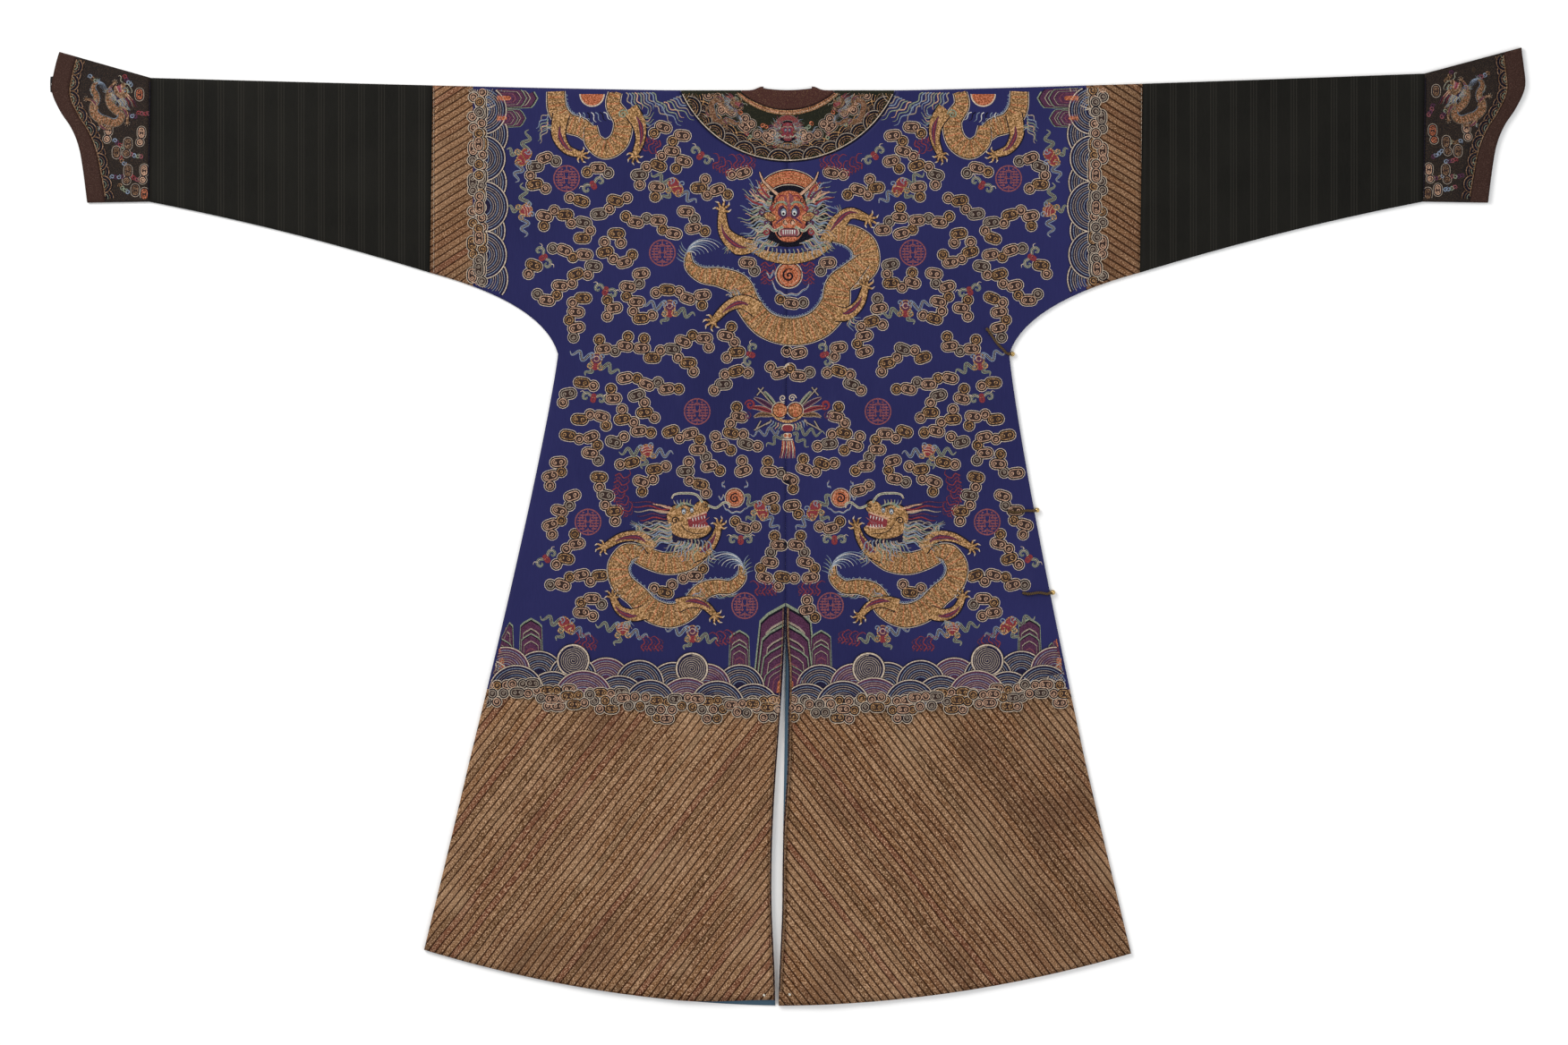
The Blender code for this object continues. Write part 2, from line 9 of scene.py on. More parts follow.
import bpy
import numpy as np
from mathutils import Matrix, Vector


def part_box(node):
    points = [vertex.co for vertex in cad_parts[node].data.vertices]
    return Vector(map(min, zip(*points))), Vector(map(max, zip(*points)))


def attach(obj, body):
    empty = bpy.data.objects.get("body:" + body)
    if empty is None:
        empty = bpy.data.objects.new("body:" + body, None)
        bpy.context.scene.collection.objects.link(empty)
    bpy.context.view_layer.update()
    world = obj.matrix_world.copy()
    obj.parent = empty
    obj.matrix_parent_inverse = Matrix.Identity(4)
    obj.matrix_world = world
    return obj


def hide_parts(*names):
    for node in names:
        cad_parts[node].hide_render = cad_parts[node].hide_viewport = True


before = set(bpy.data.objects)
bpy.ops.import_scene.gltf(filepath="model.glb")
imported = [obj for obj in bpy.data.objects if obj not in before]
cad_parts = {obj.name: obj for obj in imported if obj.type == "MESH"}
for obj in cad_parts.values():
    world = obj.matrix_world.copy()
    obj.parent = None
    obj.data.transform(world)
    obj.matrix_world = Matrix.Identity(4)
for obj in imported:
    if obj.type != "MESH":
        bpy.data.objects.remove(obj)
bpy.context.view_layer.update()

ROOT = "root"

# The cloth, as in the CAD model
THICKNESS = 0.0015
SEAM_GAP = 0.0003
LAYER_LOW = THICKNESS / 2
LAYER_UNDERLAP = 0.00295
LAYER_BACK = 0.0052
LAYERS = (LAYER_BACK, LAYER_LOW)
TOP = LAYER_BACK + THICKNESS / 2
FOLD_STEPS = 6
FOLD_RADIUS = (LAYER_BACK - LAYER_LOW) / 2
FOLD_INSET = FOLD_RADIUS + THICKNESS / 2

# The cut of the body, one half
LENGTH = 1.3675
SLEEVE_SEAM_X = 0.530
SLEEVE_SEAM_DEPTH = 0.2725
UNDERARM_CONTROL = (0.360, 0.3185)
UNDERARM_X = 0.337
UNDERARM_DEPTH = 0.394
HEM_X = 0.528
HEM_CORNER_DEPTH = {-1: 1.2840, 1: 1.2895}
SIDE_FLARE = 1.15
HEM_BOW = 0.0188
OVERLAP_DEPTH = 0.200
OVERLAP_BOW = 0.020
OVERLAP_INSET = 0.012
HEM_LIFT = 0.0085
HEM_LIFT_ACROSS = 0.28

# How the robe lies
LEAN = -0.015
LEAN_DEPTH = 1.00
VENT_DEPTH = 0.7545
VENT_OPEN_DEPTH = 1.150
VENT_HALF_GAP = 0.0080
VENT_CLOSE_DEPTH = 1.200
VENT_CLOSE = 0.70
SEAM_DRIFT = -0.003
VENT_DRIFT = -0.013
VENT_DRIFT_DEPTH = 1.200
LINING_PEEK = 0.0050

# The arms and the neck
SLEEVE_END_X = 0.951
SLEEVE_END_DEPTH = 0.1665
SLEEVE_BOW = 0.006
SHOULDER_RISE = {-1: 0.0186, 1: 0.0250}
SHOULDER_CURVE = 1.2
COLLAR_CLEAR = 0.170
CUFF_EDGE_WIDTH = 0.027
NECK_COLUMNS = ("half_width", "back", "front")
COLLAR_OUTER = (0.159, 0.1055, 0.165)
COLLAR_INNER = (0.0693, 0.0293, 0.0903)
BAND_LOWER = (0.0690, 0.0290, 0.0900)
BAND_UPPER = (0.0360, 0.0050, 0.0620)
BAND_BUMP = 0.0058
BAND_BUMP_X = 0.0375
BAND_BUMP_SPREAD = 0.010
CUFF_OUTLINE = (
    (1.0875, -0.0575),
    (1.0945, -0.0320),
    (1.0990, 0.0000),
    (1.0870, 0.0300),
    (1.0700, 0.0560),
    (1.0590, 0.0830),
    (1.0525, 0.1170),
    (1.0460, 0.1680),
)
CUFF_TIP_REACH = {-1: 0.0, 1: 0.0085}

# Soft folds: top x and depth, bottom x and depth, spread and height. The first eight are the CAD's.
FOLDS = (
    (-0.045, 0.760, -0.085, 1.400, 0.046, 0.0022),
    (-0.190, 0.820, -0.285, 1.400, 0.052, 0.0014),
    (-0.330, 0.640, -0.440, 1.320, 0.044, 0.0009),
    (0.034, 0.740, 0.062, 1.400, 0.044, 0.0021),
    (0.185, 0.880, 0.250, 1.400, 0.050, 0.0012),
    (0.300, 0.560, 0.400, 1.240, 0.048, 0.0009),
    (-0.120, 0.210, -0.200, 0.560, 0.056, 0.0007),
    (0.140, 0.260, 0.120, 0.700, 0.060, 0.0008),
    (-0.130, 0.880, -0.170, 1.400, 0.030, 0.0010),
    (-0.395, 0.900, -0.455, 1.290, 0.024, 0.0007),
    (0.110, 0.860, 0.135, 1.400, 0.028, 0.0010),
    (0.360, 0.800, 0.440, 1.300, 0.026, 0.0008),
    (-0.470, 0.020, -0.380, 0.330, 0.030, 0.0006),
    (0.470, 0.020, 0.385, 0.330, 0.030, 0.0006),
    (-0.230, 0.420, -0.300, 0.900, 0.030, 0.0005),
    (0.240, 0.470, 0.290, 0.900, 0.032, 0.0005),
)
FOLD_FADE = 0.16
EDGE_FADE = 0.050
PUCKER = 0.00035
PUCKER_PITCH = 0.047
PUCKER_SPREAD = 0.018

# Where the inner end of each button's cord is: x and depth
CORD_STARTS = ((0.297, 0.357), (0.329, 0.630), (0.351, 0.751))

# Divisions
SHOULDER_ROWS = 30
UNDERARM_ROWS = 14
SKIRT_ROWS = 96
PANEL_COLUMNS = 44
OVERLAP_ROWS = 90
OVERLAP_COLUMNS = 40
OVERLAP_LEVEL = 2.012
SLEEVE_ROWS = 46
SLEEVE_COLUMNS = 24
CUFF_ROWS = 14
CUFF_COLUMNS = 40
EDGE_ROWS = 5

collar_low, collar_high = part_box("collar")
ORIGIN = ((collar_low.x + collar_high.x) / 2, collar_low.y + COLLAR_OUTER[2], 0.0)


def smooth(low, high, value):
    """0 below low, 1 above high and an S curve between them."""
    part = np.clip((value - low) / (high - low), 0.0, 1.0)
    return part * part * (3.0 - 2.0 * part)


def mix(first, second, part):
    """The place a fraction of the way from one point to another."""
    return tuple(a + (b - a) * part for a, b in zip(first, second))


def spaced(start, end, count):
    """Values from start to end in count equal steps."""
    return [start + (end - start) * i / count for i in range(count + 1)]


# The cut, as functions of a side (-1 is left, 1 is right) and of two fractions. across may be an array.

def shoulder_depth(side, reach):
    """Depth of the shoulder line, which rises towards the cuffs."""
    part = np.maximum(reach - COLLAR_CLEAR, 0.0) / (SLEEVE_END_X - COLLAR_CLEAR)
    return -SHOULDER_RISE[side] * part ** SHOULDER_CURVE


def neck_arc(edge, layer, part):
    """A point on a neck edge; part 0 is at the shoulder fold and 1 at the centre line."""
    half_width = edge[0]
    depth = edge[NECK_COLUMNS.index(layer)] - FOLD_INSET
    radius = (half_width ** 2 + depth ** 2) / (2 * depth)
    angle = math.atan2(half_width, radius - depth) * (1 - part)
    drop = depth - radius + radius * np.cos(angle)
    return (radius * np.sin(angle), drop + FOLD_INSET)


def outer_edge(side, level):
    """Sleeve seam for level 0 to 1, underarm for 1 to 2 and side for 2 to 3."""
    if level <= 1:
        top = shoulder_depth(side, SLEEVE_SEAM_X)
        return (SLEEVE_SEAM_X - SEAM_GAP / 2, top + (SLEEVE_SEAM_DEPTH - top) * level)
    if level <= 2:
        part = level - 1
        start = (SLEEVE_SEAM_X - SEAM_GAP / 2, SLEEVE_SEAM_DEPTH)
        end = (UNDERARM_X, UNDERARM_DEPTH)
        first = mix(start, UNDERARM_CONTROL, part)
        return mix(first, mix(UNDERARM_CONTROL, end, part), part)
    depth = UNDERARM_DEPTH + (HEM_CORNER_DEPTH[side] - UNDERARM_DEPTH) * (level - 2)
    return (UNDERARM_X + (HEM_X - UNDERARM_X) * (level - 2) ** SIDE_FLARE, depth)


def centre_edge(layer, level):
    """Neck edge for level 0 to 1, then the centre line down to the hem."""
    gapped = tuple(value + SEAM_GAP for value in COLLAR_OUTER)
    if level <= 1:
        return neck_arc(gapped, layer, level)
    neck_depth = gapped[NECK_COLUMNS.index(layer)]
    if level <= 2:
        return (0.0, neck_depth + (OVERLAP_DEPTH - neck_depth) * (level - 1))
    return (0.0, OVERLAP_DEPTH + (LENGTH - OVERLAP_DEPTH) * (level - 2))


def row_bow(level):
    """How far the middle of a row hangs below a straight line across the panel."""
    if level <= 1:
        return 0.0
    if level <= 2:
        return OVERLAP_BOW * (level - 1)
    return OVERLAP_BOW + (HEM_BOW - OVERLAP_BOW) * (level - 2)


def vent_opening(side, layer, depth):
    """How far one edge of the centre seam stands from the centre line."""
    wide = smooth(VENT_DEPTH, VENT_OPEN_DEPTH, depth)
    wide = wide * (1 - VENT_CLOSE * smooth(VENT_CLOSE_DEPTH, LENGTH, depth))
    gap = SEAM_GAP / 2 + VENT_HALF_GAP * wide
    if side > 0 and layer == "back":
        upper = smooth(VENT_DEPTH + 0.05, VENT_DEPTH + 0.12, depth)
        gap = gap + LINING_PEEK * upper * (1 - smooth(1.00, 1.12, depth))
    return gap


def panel_line(side, layer, level, across):
    """Points of a body panel in x and y, at one level and several fractions across."""
    reach, depth = mix(centre_edge(layer, level), outer_edge(side, level), across)
    if level == 0:
        depth = shoulder_depth(side, reach) + FOLD_INSET
    depth = depth + row_bow(level) * 4 * across * (1 - across)
    drift = SEAM_DRIFT * smooth(0, VENT_DEPTH, depth)
    drift = drift + VENT_DRIFT * smooth(VENT_DEPTH, VENT_DRIFT_DEPTH, depth)
    lean = LEAN * np.clip(depth / LEAN_DEPTH, 0.0, 1.0)
    opening = vent_opening(side, layer, depth) * (depth > COLLAR_OUTER[1])
    x = side * (reach + opening * (1 - across)) + drift * (1 - across) + lean * across
    y = -depth
    if layer == "back" and side < 0:
        y = y + HEM_LIFT * smooth(2.6, 3.0, level) * (1 - smooth(0.0, HEM_LIFT_ACROSS, across))
    return np.stack(np.broadcast_arrays(x, y), -1)


def side_normal(side, level):
    """The way out across the underarm or side fold."""
    if level <= 1:
        return np.array((0.0, -1.0))
    step = 0.02
    above = panel_line(side, "back", max(level - step, 1.0), 1.0)
    below = panel_line(side, "back", min(level + step, 3.0), 1.0)
    along = (below - above) / np.hypot(*(below - above))
    return np.array((-along[1], along[0])) * side


def side_tables(side):
    """The outline of one side as tables to read a reach or a depth from."""
    skirt = np.array([outer_edge(side, level) for level in spaced(2, 3, 40)])
    arm = np.array([outer_edge(side, level) for level in spaced(2, 1, 20)])
    return skirt, arm


TABLES = {side: side_tables(side) for side in (-1, 1)}


def room(x, y):
    """Roughly how far a point of the body is from its nearest fold or seam."""
    depth = -y
    reach = np.abs(x - LEAN * np.clip(depth / LEAN_DEPTH, 0.0, 1.0))
    skirt, arm = TABLES[1]
    beside = np.interp(depth, skirt[:, 1], skirt[:, 0]) - reach
    below = np.interp(reach, arm[:, 0], arm[:, 1]) - depth
    neck_radius = (COLLAR_OUTER[0] ** 2 + COLLAR_OUTER[1] ** 2) / (2 * COLLAR_OUTER[1])
    collar = np.hypot(x, depth - COLLAR_OUTER[1] + neck_radius) - neck_radius
    edges = (SLEEVE_SEAM_X - np.abs(x), depth + 0.01, collar)
    nearest = np.maximum(beside, below)
    for edge in edges:
        nearest = np.minimum(nearest, edge)
    return nearest


def drape(x, y):
    """Height of the soft folds of the body, for the cloth and for what is sewn on it."""
    depth = -y
    total = np.zeros(np.broadcast(x, y).shape)
    for top_x, top_depth, bottom_x, bottom_depth, spread, height in FOLDS:
        part = (depth - top_depth) / (bottom_depth - top_depth)
        offset = (x - top_x - (bottom_x - top_x) * part) / spread
        rise = smooth(0.0, FOLD_FADE, depth - top_depth)
        if bottom_depth <= LENGTH:
            rise = rise * smooth(0.0, FOLD_FADE, bottom_depth - depth)
        total = total + height * rise * np.exp(-offset * offset)
    pull = np.exp(-(x / PUCKER_SPREAD) ** 2) * (0.5 + 0.5 * np.sin(depth / PUCKER_PITCH * math.tau))
    total = total + PUCKER * pull * smooth(0.16, 0.22, depth) * (1 - smooth(0.7, 0.75, depth))
    return total * smooth(0.0, EDGE_FADE, room(x, y))


def weave(index):
    """Quads over a grid of point numbers."""
    corners = (index[:-1, :-1], index[:-1, 1:], index[1:, 1:], index[1:, :-1])
    return np.stack([corner.ravel() for corner in corners], 1)


def weave_round(index):
    """Quads over a grid of point numbers whose last column joins its first."""
    return weave(np.concatenate([index, index[:, :1]], 1))


def numbered(grid):
    """The numbers of the points of a grid, in the order that reshape lists them in."""
    return np.arange(grid.shape[0] * grid.shape[1]).reshape(grid.shape[:2])


def new_piece(name, points, faces, finishes):
    """A smooth mesh that rides on the robe's one body."""
    mesh = bpy.data.meshes.new(name)
    mesh.from_pydata(points.tolist(), [], faces if isinstance(faces, list) else faces.tolist())
    for finish in finishes:
        mesh.materials.append(finish)
    mesh.shade_smooth()
    piece = bpy.data.objects.new(name, mesh)
    piece.location = ORIGIN
    bpy.context.scene.collection.objects.link(piece)
    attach(piece, ROOT)
    return piece


def cloth(name, points, quads, finish):
    """A wall of cloth about an open surface, lined inside, in place of the CAD node of that name."""
    a, b, d = (points[quads[0][i]] for i in (0, 1, 3))
    if np.cross(b - a, d - a)[2] < 0:
        quads = quads[:, ::-1]
    piece = new_piece("cloth_" + name, points, quads, [finish, FINISH["lining"]])
    wall = piece.modifiers.new("wall", "SOLIDIFY")
    wall.thickness = THICKNESS
    wall.offset = 0.0
    wall.use_even_offset = True
    wall.material_offset = 1
    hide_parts(name)
    return piece


def with_height(flat, height):
    """Points in x and y with a height added to each."""
    return np.concatenate([flat, np.broadcast_to(height, flat.shape[:-1])[..., None]], -1)


def fold_points(back, front, outward):
    """Rows of points round a fold, between a row of back points and a row of front points."""
    middle = (back + front) / 2
    radius = (back[:, 2] - front[:, 2]) / 2
    rows = []
    for step in range(1, FOLD_STEPS):
        angle = math.pi * step / FOLD_STEPS
        row = back.copy()
        row[:, :2] += outward * (radius * math.sin(angle))[:, None]
        row[:, 2] = middle[:, 2] + radius * math.cos(angle)
        rows.append(row)
    return rows


def body_half(name, side, finish):
    """Back and front in one, folded at the shoulder and closed down the underarm and side."""
    levels = spaced(0.0, 1.0, SHOULDER_ROWS) + spaced(1.0, 2.0, UNDERARM_ROWS)[1:]
    levels += spaced(2.0, 3.0, SKIRT_ROWS)[1:]
    across = np.linspace(0.0, 1.0, PANEL_COLUMNS + 1)
    sheets = {}
    for layer in ("back", "front"):
        flat = np.array([panel_line(side, layer, level, across) for level in levels])
        height = LAYER_BACK + drape(flat[..., 0], flat[..., 1])
        if layer == "front":
            under = LAYER_UNDERLAP if side > 0 else LAYER_LOW
            rise = smooth(1.25, 1.75, np.array(levels))[:, None]
            height = LAYER_LOW + (under - LAYER_LOW) * rise
        sheets[layer] = with_height(flat, height)
    outward = np.array([side_normal(side, level) for level in levels[SHOULDER_ROWS:]])
    inset = (sheets["back"][SHOULDER_ROWS:, -1, 2] - sheets["front"][SHOULDER_ROWS:, -1, 2] + THICKNESS) / 2
    for layer in sheets:
        sheets[layer][SHOULDER_ROWS:, -1, :2] -= outward * inset[:, None]
    back, front = sheets["back"], sheets["front"]
    shoulder = fold_points(back[0], front[0], np.array([(0.0, 1.0)]))
    sides = fold_points(back[SHOULDER_ROWS:, -1], front[SHOULDER_ROWS:, -1], outward)
    parts = [back.reshape(-1, 3), front.reshape(-1, 3), *shoulder, *sides]
    starts = np.cumsum([0] + [len(part) for part in parts])
    back_index = np.arange(starts[1]).reshape(back.shape[:2])
    front_index = back_index + starts[1]
    over = [np.arange(starts[2 + i], starts[3 + i]) for i in range(FOLD_STEPS - 1)]
    round_side = [np.arange(starts[1 + FOLD_STEPS + i], starts[2 + FOLD_STEPS + i])
                  for i in range(FOLD_STEPS - 1)]
    quads = [
        weave(back_index),
        weave(front_index)[:, ::-1],
        weave(np.array([front_index[0], *over[::-1], back_index[0]])),
        weave(np.array([back_index[SHOULDER_ROWS:, -1], *round_side, front_index[SHOULDER_ROWS:, -1]]).T),
    ]
    return cloth(name, np.concatenate(parts), np.concatenate(quads), finish)


def overlap_panel(name, finish):
    """The outer right front, which lies on the surface under the rest."""
    rows = []
    for level in spaced(OVERLAP_LEVEL, 3.0, OVERLAP_ROWS):
        across = np.linspace(0.0, 1.0, OVERLAP_COLUMNS + 1) * (1 - OVERLAP_INSET / outer_edge(1, level)[0])
        rows.append(panel_line(1, "front", level, across))
    flat = np.array(rows)
    index = numbered(flat)
    points = with_height(flat, LAYER_LOW).reshape(-1, 3)
    return cloth(name, points, weave(index)[:, ::-1], finish)


def flat_ring(section, columns, swell):
    """A flattened ring: along the back layer, round the lower fold, and back along the front."""
    line = section(np.linspace(0.0, 1.0, columns + 1))
    up = line[0] - section(np.array([0.1]))[0]
    down = line[-1] - section(np.array([0.9]))[0]
    up /= np.hypot(*up)
    down /= np.hypot(*down)
    line[0] -= up * FOLD_INSET
    line[-1] -= down * FOLD_INSET
    rise = swell * np.sin(np.linspace(0.0, math.pi, columns + 1)) ** 2
    back = with_height(line, LAYER_BACK + rise)
    front = with_height(line, LAYER_LOW)
    lower = [row[0] for row in fold_points(back[-1:], front[-1:], down[None])]
    upper = [row[0] for row in fold_points(back[:1], front[:1], up[None])]
    return np.array([*back, *lower, *front[::-1], *upper[::-1]])


def tube(name, sections, columns, finish, swells=None):
    """A flattened tube through sections, each a function for flat_ring."""
    swells = swells or [0.0] * len(sections)
    rings = np.array([flat_ring(section, columns, swell) for section, swell in zip(sections, swells)])
    return cloth(name, rings.reshape(-1, 3), weave_round(numbered(rings)), finish)


def sleeve_section(side, part):
    """A line across the sleeve from its upper fold to its lower one."""
    reach = SLEEVE_SEAM_X + SEAM_GAP / 2 + (SLEEVE_END_X - SLEEVE_SEAM_X - SEAM_GAP) * part
    top = shoulder_depth(side, reach)
    bottom = SLEEVE_SEAM_DEPTH + (SLEEVE_END_DEPTH - SLEEVE_SEAM_DEPTH) * part
    bottom -= SLEEVE_BOW * 4 * part * (1 - part)

    def section(across):
        depth = top + (bottom - top) * across
        lean = LEAN * np.maximum(depth, 0.0) / LEAN_DEPTH
        return np.stack([side * reach + lean, -depth], -1)

    return section


def spline(points, places):
    """Points on the Catmull-Rom curve through points, at places counted from the first."""
    points = np.asarray(points, float)
    last = len(points) - 1
    index = np.clip(places.astype(int), 0, last - 1)
    part = (places - index)[:, None]
    before = points[np.maximum(index - 1, 0)]
    start, end = points[index], points[index + 1]
    after = points[np.minimum(index + 2, last)]
    slope_in, slope_out = (end - before) / 2, (after - start) / 2
    square, cube = part ** 2, part ** 3
    value = start * (2 * cube - 3 * square + 1) + slope_in * (cube - 2 * square + part)
    return value + end * (3 * square - 2 * cube) + slope_out * (cube - square)


def cuff_outer(side, across):
    """Points of the cuff's outer edge, from its top to its bottom."""
    count = len(CUFF_OUTLINE) - 1
    reach, depth = spline(CUFF_OUTLINE, np.minimum(across * count, count - 1e-9)).T
    extra = SHOULDER_RISE[side] - SHOULDER_RISE[-1]
    reach = reach + CUFF_TIP_REACH[side] * (1 - across) ** 4
    return np.stack([side * reach, -depth + extra * (1 - across)], -1)


def cuff_section(side, part, band):
    """A line across the cuff; band is how far its end stays short of the outer edge."""
    inner = sleeve_section(side, 1.0)

    def section(across):
        start = inner(across) + (side * SEAM_GAP, 0.0)
        step = cuff_outer(side, across) - start
        reach = 1 - band / np.hypot(*step.T)
        return start + step * (reach * part)[:, None]

    return section


def edge_section(side, part):
    """A line along the edging of the cuff."""
    def section(across):
        start = cuff_section(side, 1.0, CUFF_EDGE_WIDTH)(across)
        return start + (cuff_outer(side, across) - start) * part

    return section


def neck_line(outer, inner, layer, part, stations):
    """Points of a neck piece; stations run 0 to 1 from the left fold to the right one."""
    along = 1 - np.abs(2 * stations - 1)
    reach, depth = mix(neck_arc(outer, layer, along), neck_arc(inner, layer, along), part)
    return np.stack([np.where(stations < 0.5, -1, 1) * reach, -depth], -1)


def round_edge(name, outer, inner, rows, stations, finish, bump=0.0):
    """A neck piece: a ring folded over the shoulder line, its back above its front."""
    rings = []
    places = np.linspace(0.0, 1.0, stations + 1)
    for part in spaced(0.0, 1.0, rows):
        lines = []
        for layer, height in zip(("back", "front"), LAYERS):
            line = neck_line(outer, inner, layer, part, places)
            lift = bump * np.exp(-((abs(line[0, 0]) - BAND_BUMP_X) / BAND_BUMP_SPREAD) ** 2)
            line[:, 1] += lift * (1 - smooth(FOLD_INSET, FOLD_INSET + BAND_BUMP_SPREAD, -line[:, 1]))
            lines.append(with_height(line, height))
        back, front = lines
        ends = fold_points(back[[0, -1]], front[[0, -1]], np.array([(0.0, 1.0)]))
        right = [row[1] for row in ends]
        left = [row[0] for row in ends]
        rings.append([*back, *right, *front[::-1], *left[::-1]])
    rings = np.array(rings)
    return cloth(name, rings.reshape(-1, 3), weave_round(numbered(rings)), finish)


# Materials

class Finish:
    """A procedural material and short ways to wire it."""

    def __init__(self, name, roughness, metallic=0.0, specular=0.10):
        self.material = bpy.data.materials.new(name)
        self.material.use_nodes = True
        self.tree = self.material.node_tree
        self.shader = self.tree.nodes["Principled BSDF"]
        self.shader.inputs["Roughness"].default_value = roughness
        self.shader.inputs["Metallic"].default_value = metallic
        self.shader.inputs["Specular IOR Level"].default_value = specular
        self.where = self.node("ShaderNodeTexCoord").outputs["Object"]
        self.x, self.y, self.z = self.node("ShaderNodeSeparateXYZ", Vector=self.where).outputs

    def node(self, kind, settings=(), **inputs):
        made = self.tree.nodes.new(kind)
        for name, value in dict(settings).items():
            setattr(made, name, value)
        for name, value in inputs.items():
            self.join(made.inputs[name.replace("_", " ")], value)
        return made

    def join(self, socket, value):
        if isinstance(value, bpy.types.NodeSocket):
            self.tree.links.new(value, socket)
        else:
            socket.default_value = value

    def math(self, operation, *values):
        made = self.node("ShaderNodeMath", {"operation": operation})
        for socket, value in zip(made.inputs, values):
            self.join(socket, value)
        return made.outputs[0]

    def plus(self, first, second):
        return self.math("ADD", first, second)

    def minus(self, first, second):
        return self.math("SUBTRACT", first, second)

    def times(self, first, second):
        return self.math("MULTIPLY", first, second)

    def noise(self, scale, detail, stretch=(1.0, 1.0, 1.0), turn=0.0, roughness=0.5):
        """Noise from 0 to 1; scale is in patches per metre."""
        placed = self.node("ShaderNodeMapping", Vector=self.where, Scale=stretch, Rotation=(0.0, 0.0, turn))
        made = self.node("ShaderNodeTexNoise", Vector=placed.outputs[0], Scale=scale, Detail=detail,
                         Roughness=roughness)
        return made.outputs["Fac"]

    def ramp(self, factor, *stops, interpolation="LINEAR"):
        """Colours at places from 0 to 1."""
        made = self.node("ShaderNodeValToRGB", Fac=factor)
        made.color_ramp.interpolation = interpolation
        elements = made.color_ramp.elements
        while len(elements) < len(stops):
            elements.new(0.5)
        for element, (place, colour) in zip(elements, stops):
            element.position = place
            element.color = (*colour, 1.0) if len(colour) == 3 else colour
        return made.outputs["Color"]

    def blend(self, factor, first, second):
        """The first colour where factor is 0 and the second where it is 1."""
        made = self.node("ShaderNodeMix", {"data_type": "RGBA"})
        sockets = [made.inputs[i] for i in (0, 6, 7)]
        for socket, value in zip(sockets, (factor, first, second)):
            if isinstance(value, tuple) and len(value) == 3:
                value = (*value, 1.0)
            self.join(socket, value)
        return made.outputs[2]

    def between(self, value, low, high):
        """0 below low, 1 above high."""
        made = self.node("ShaderNodeMapRange", {"interpolation_type": "SMOOTHSTEP"})
        for socket, given in zip(made.inputs, (value, low, high)):
            self.join(socket, given)
        return made.outputs[0]

    def finish(self, colour, height=None, distance=0.0003, strength=1.0, roughness=None):
        self.join(self.shader.inputs["Base Color"], colour)
        if roughness is not None:
            self.join(self.shader.inputs["Roughness"], roughness)
        if height is not None:
            bump = self.node("ShaderNodeBump", Height=height, Strength=strength, Distance=distance)
            self.join(self.shader.inputs["Normal"], bump.outputs[0])
        return self.material


# The slanting bands: below a line that arches over the hem, and outside a line at each sleeve

STRIPE_PITCH = 0.0097
SKIRT_STRIPE_ANGLE = math.radians(52)
SLEEVE_STRIPE_ANGLE = math.radians(32)
STRIPE_CENTRE = 0.012
SKIRT_BAND_DEPTH = 0.925
SKIRT_BAND_ARCH = 0.16
SLEEVE_BAND_X = 0.458
WAIST_DEPTH = 0.5
STRIPE_COLOURS = (
    (0.00, (0.330, 0.180, 0.088)),
    (0.22, (0.250, 0.122, 0.058)),
    (0.40, (0.380, 0.220, 0.115)),
    (0.58, (0.200, 0.110, 0.050)),
    (0.72, (0.300, 0.150, 0.066)),
    (0.86, (0.260, 0.160, 0.082)),
    (0.95, (0.230, 0.082, 0.045)),
)


def stripes(f, across):
    """Colour of the slanting bands, and where the gaps between them are; across is the distance over them."""
    wander = f.times(f.minus(f.noise(7.0, 3.0), 0.5), 0.007)
    phase = f.math("DIVIDE", f.plus(across, wander), STRIPE_PITCH)
    number = f.math("FLOOR", phase)
    inside = f.minus(phase, number)
    chance = f.node("ShaderNodeTexWhiteNoise", {"noise_dimensions": "2D"},
                    Vector=f.node("ShaderNodeCombineXYZ", X=number, Y=f.math("SIGN", f.x)).outputs[0])
    colour = f.ramp(chance.outputs["Value"], *STRIPE_COLOURS, interpolation="CONSTANT")
    second = f.math("FRACT", f.times(phase, 3.0))
    thread = f.math("PINGPONG", second, 0.5)
    colour = f.blend(f.times(thread, 0.75), f.blend(0.55, colour, (0.10, 0.045, 0.02)), colour)
    gap = f.between(f.math("PINGPONG", f.plus(inside, 0.5), 0.5), 0.30, 0.46)
    return colour, gap


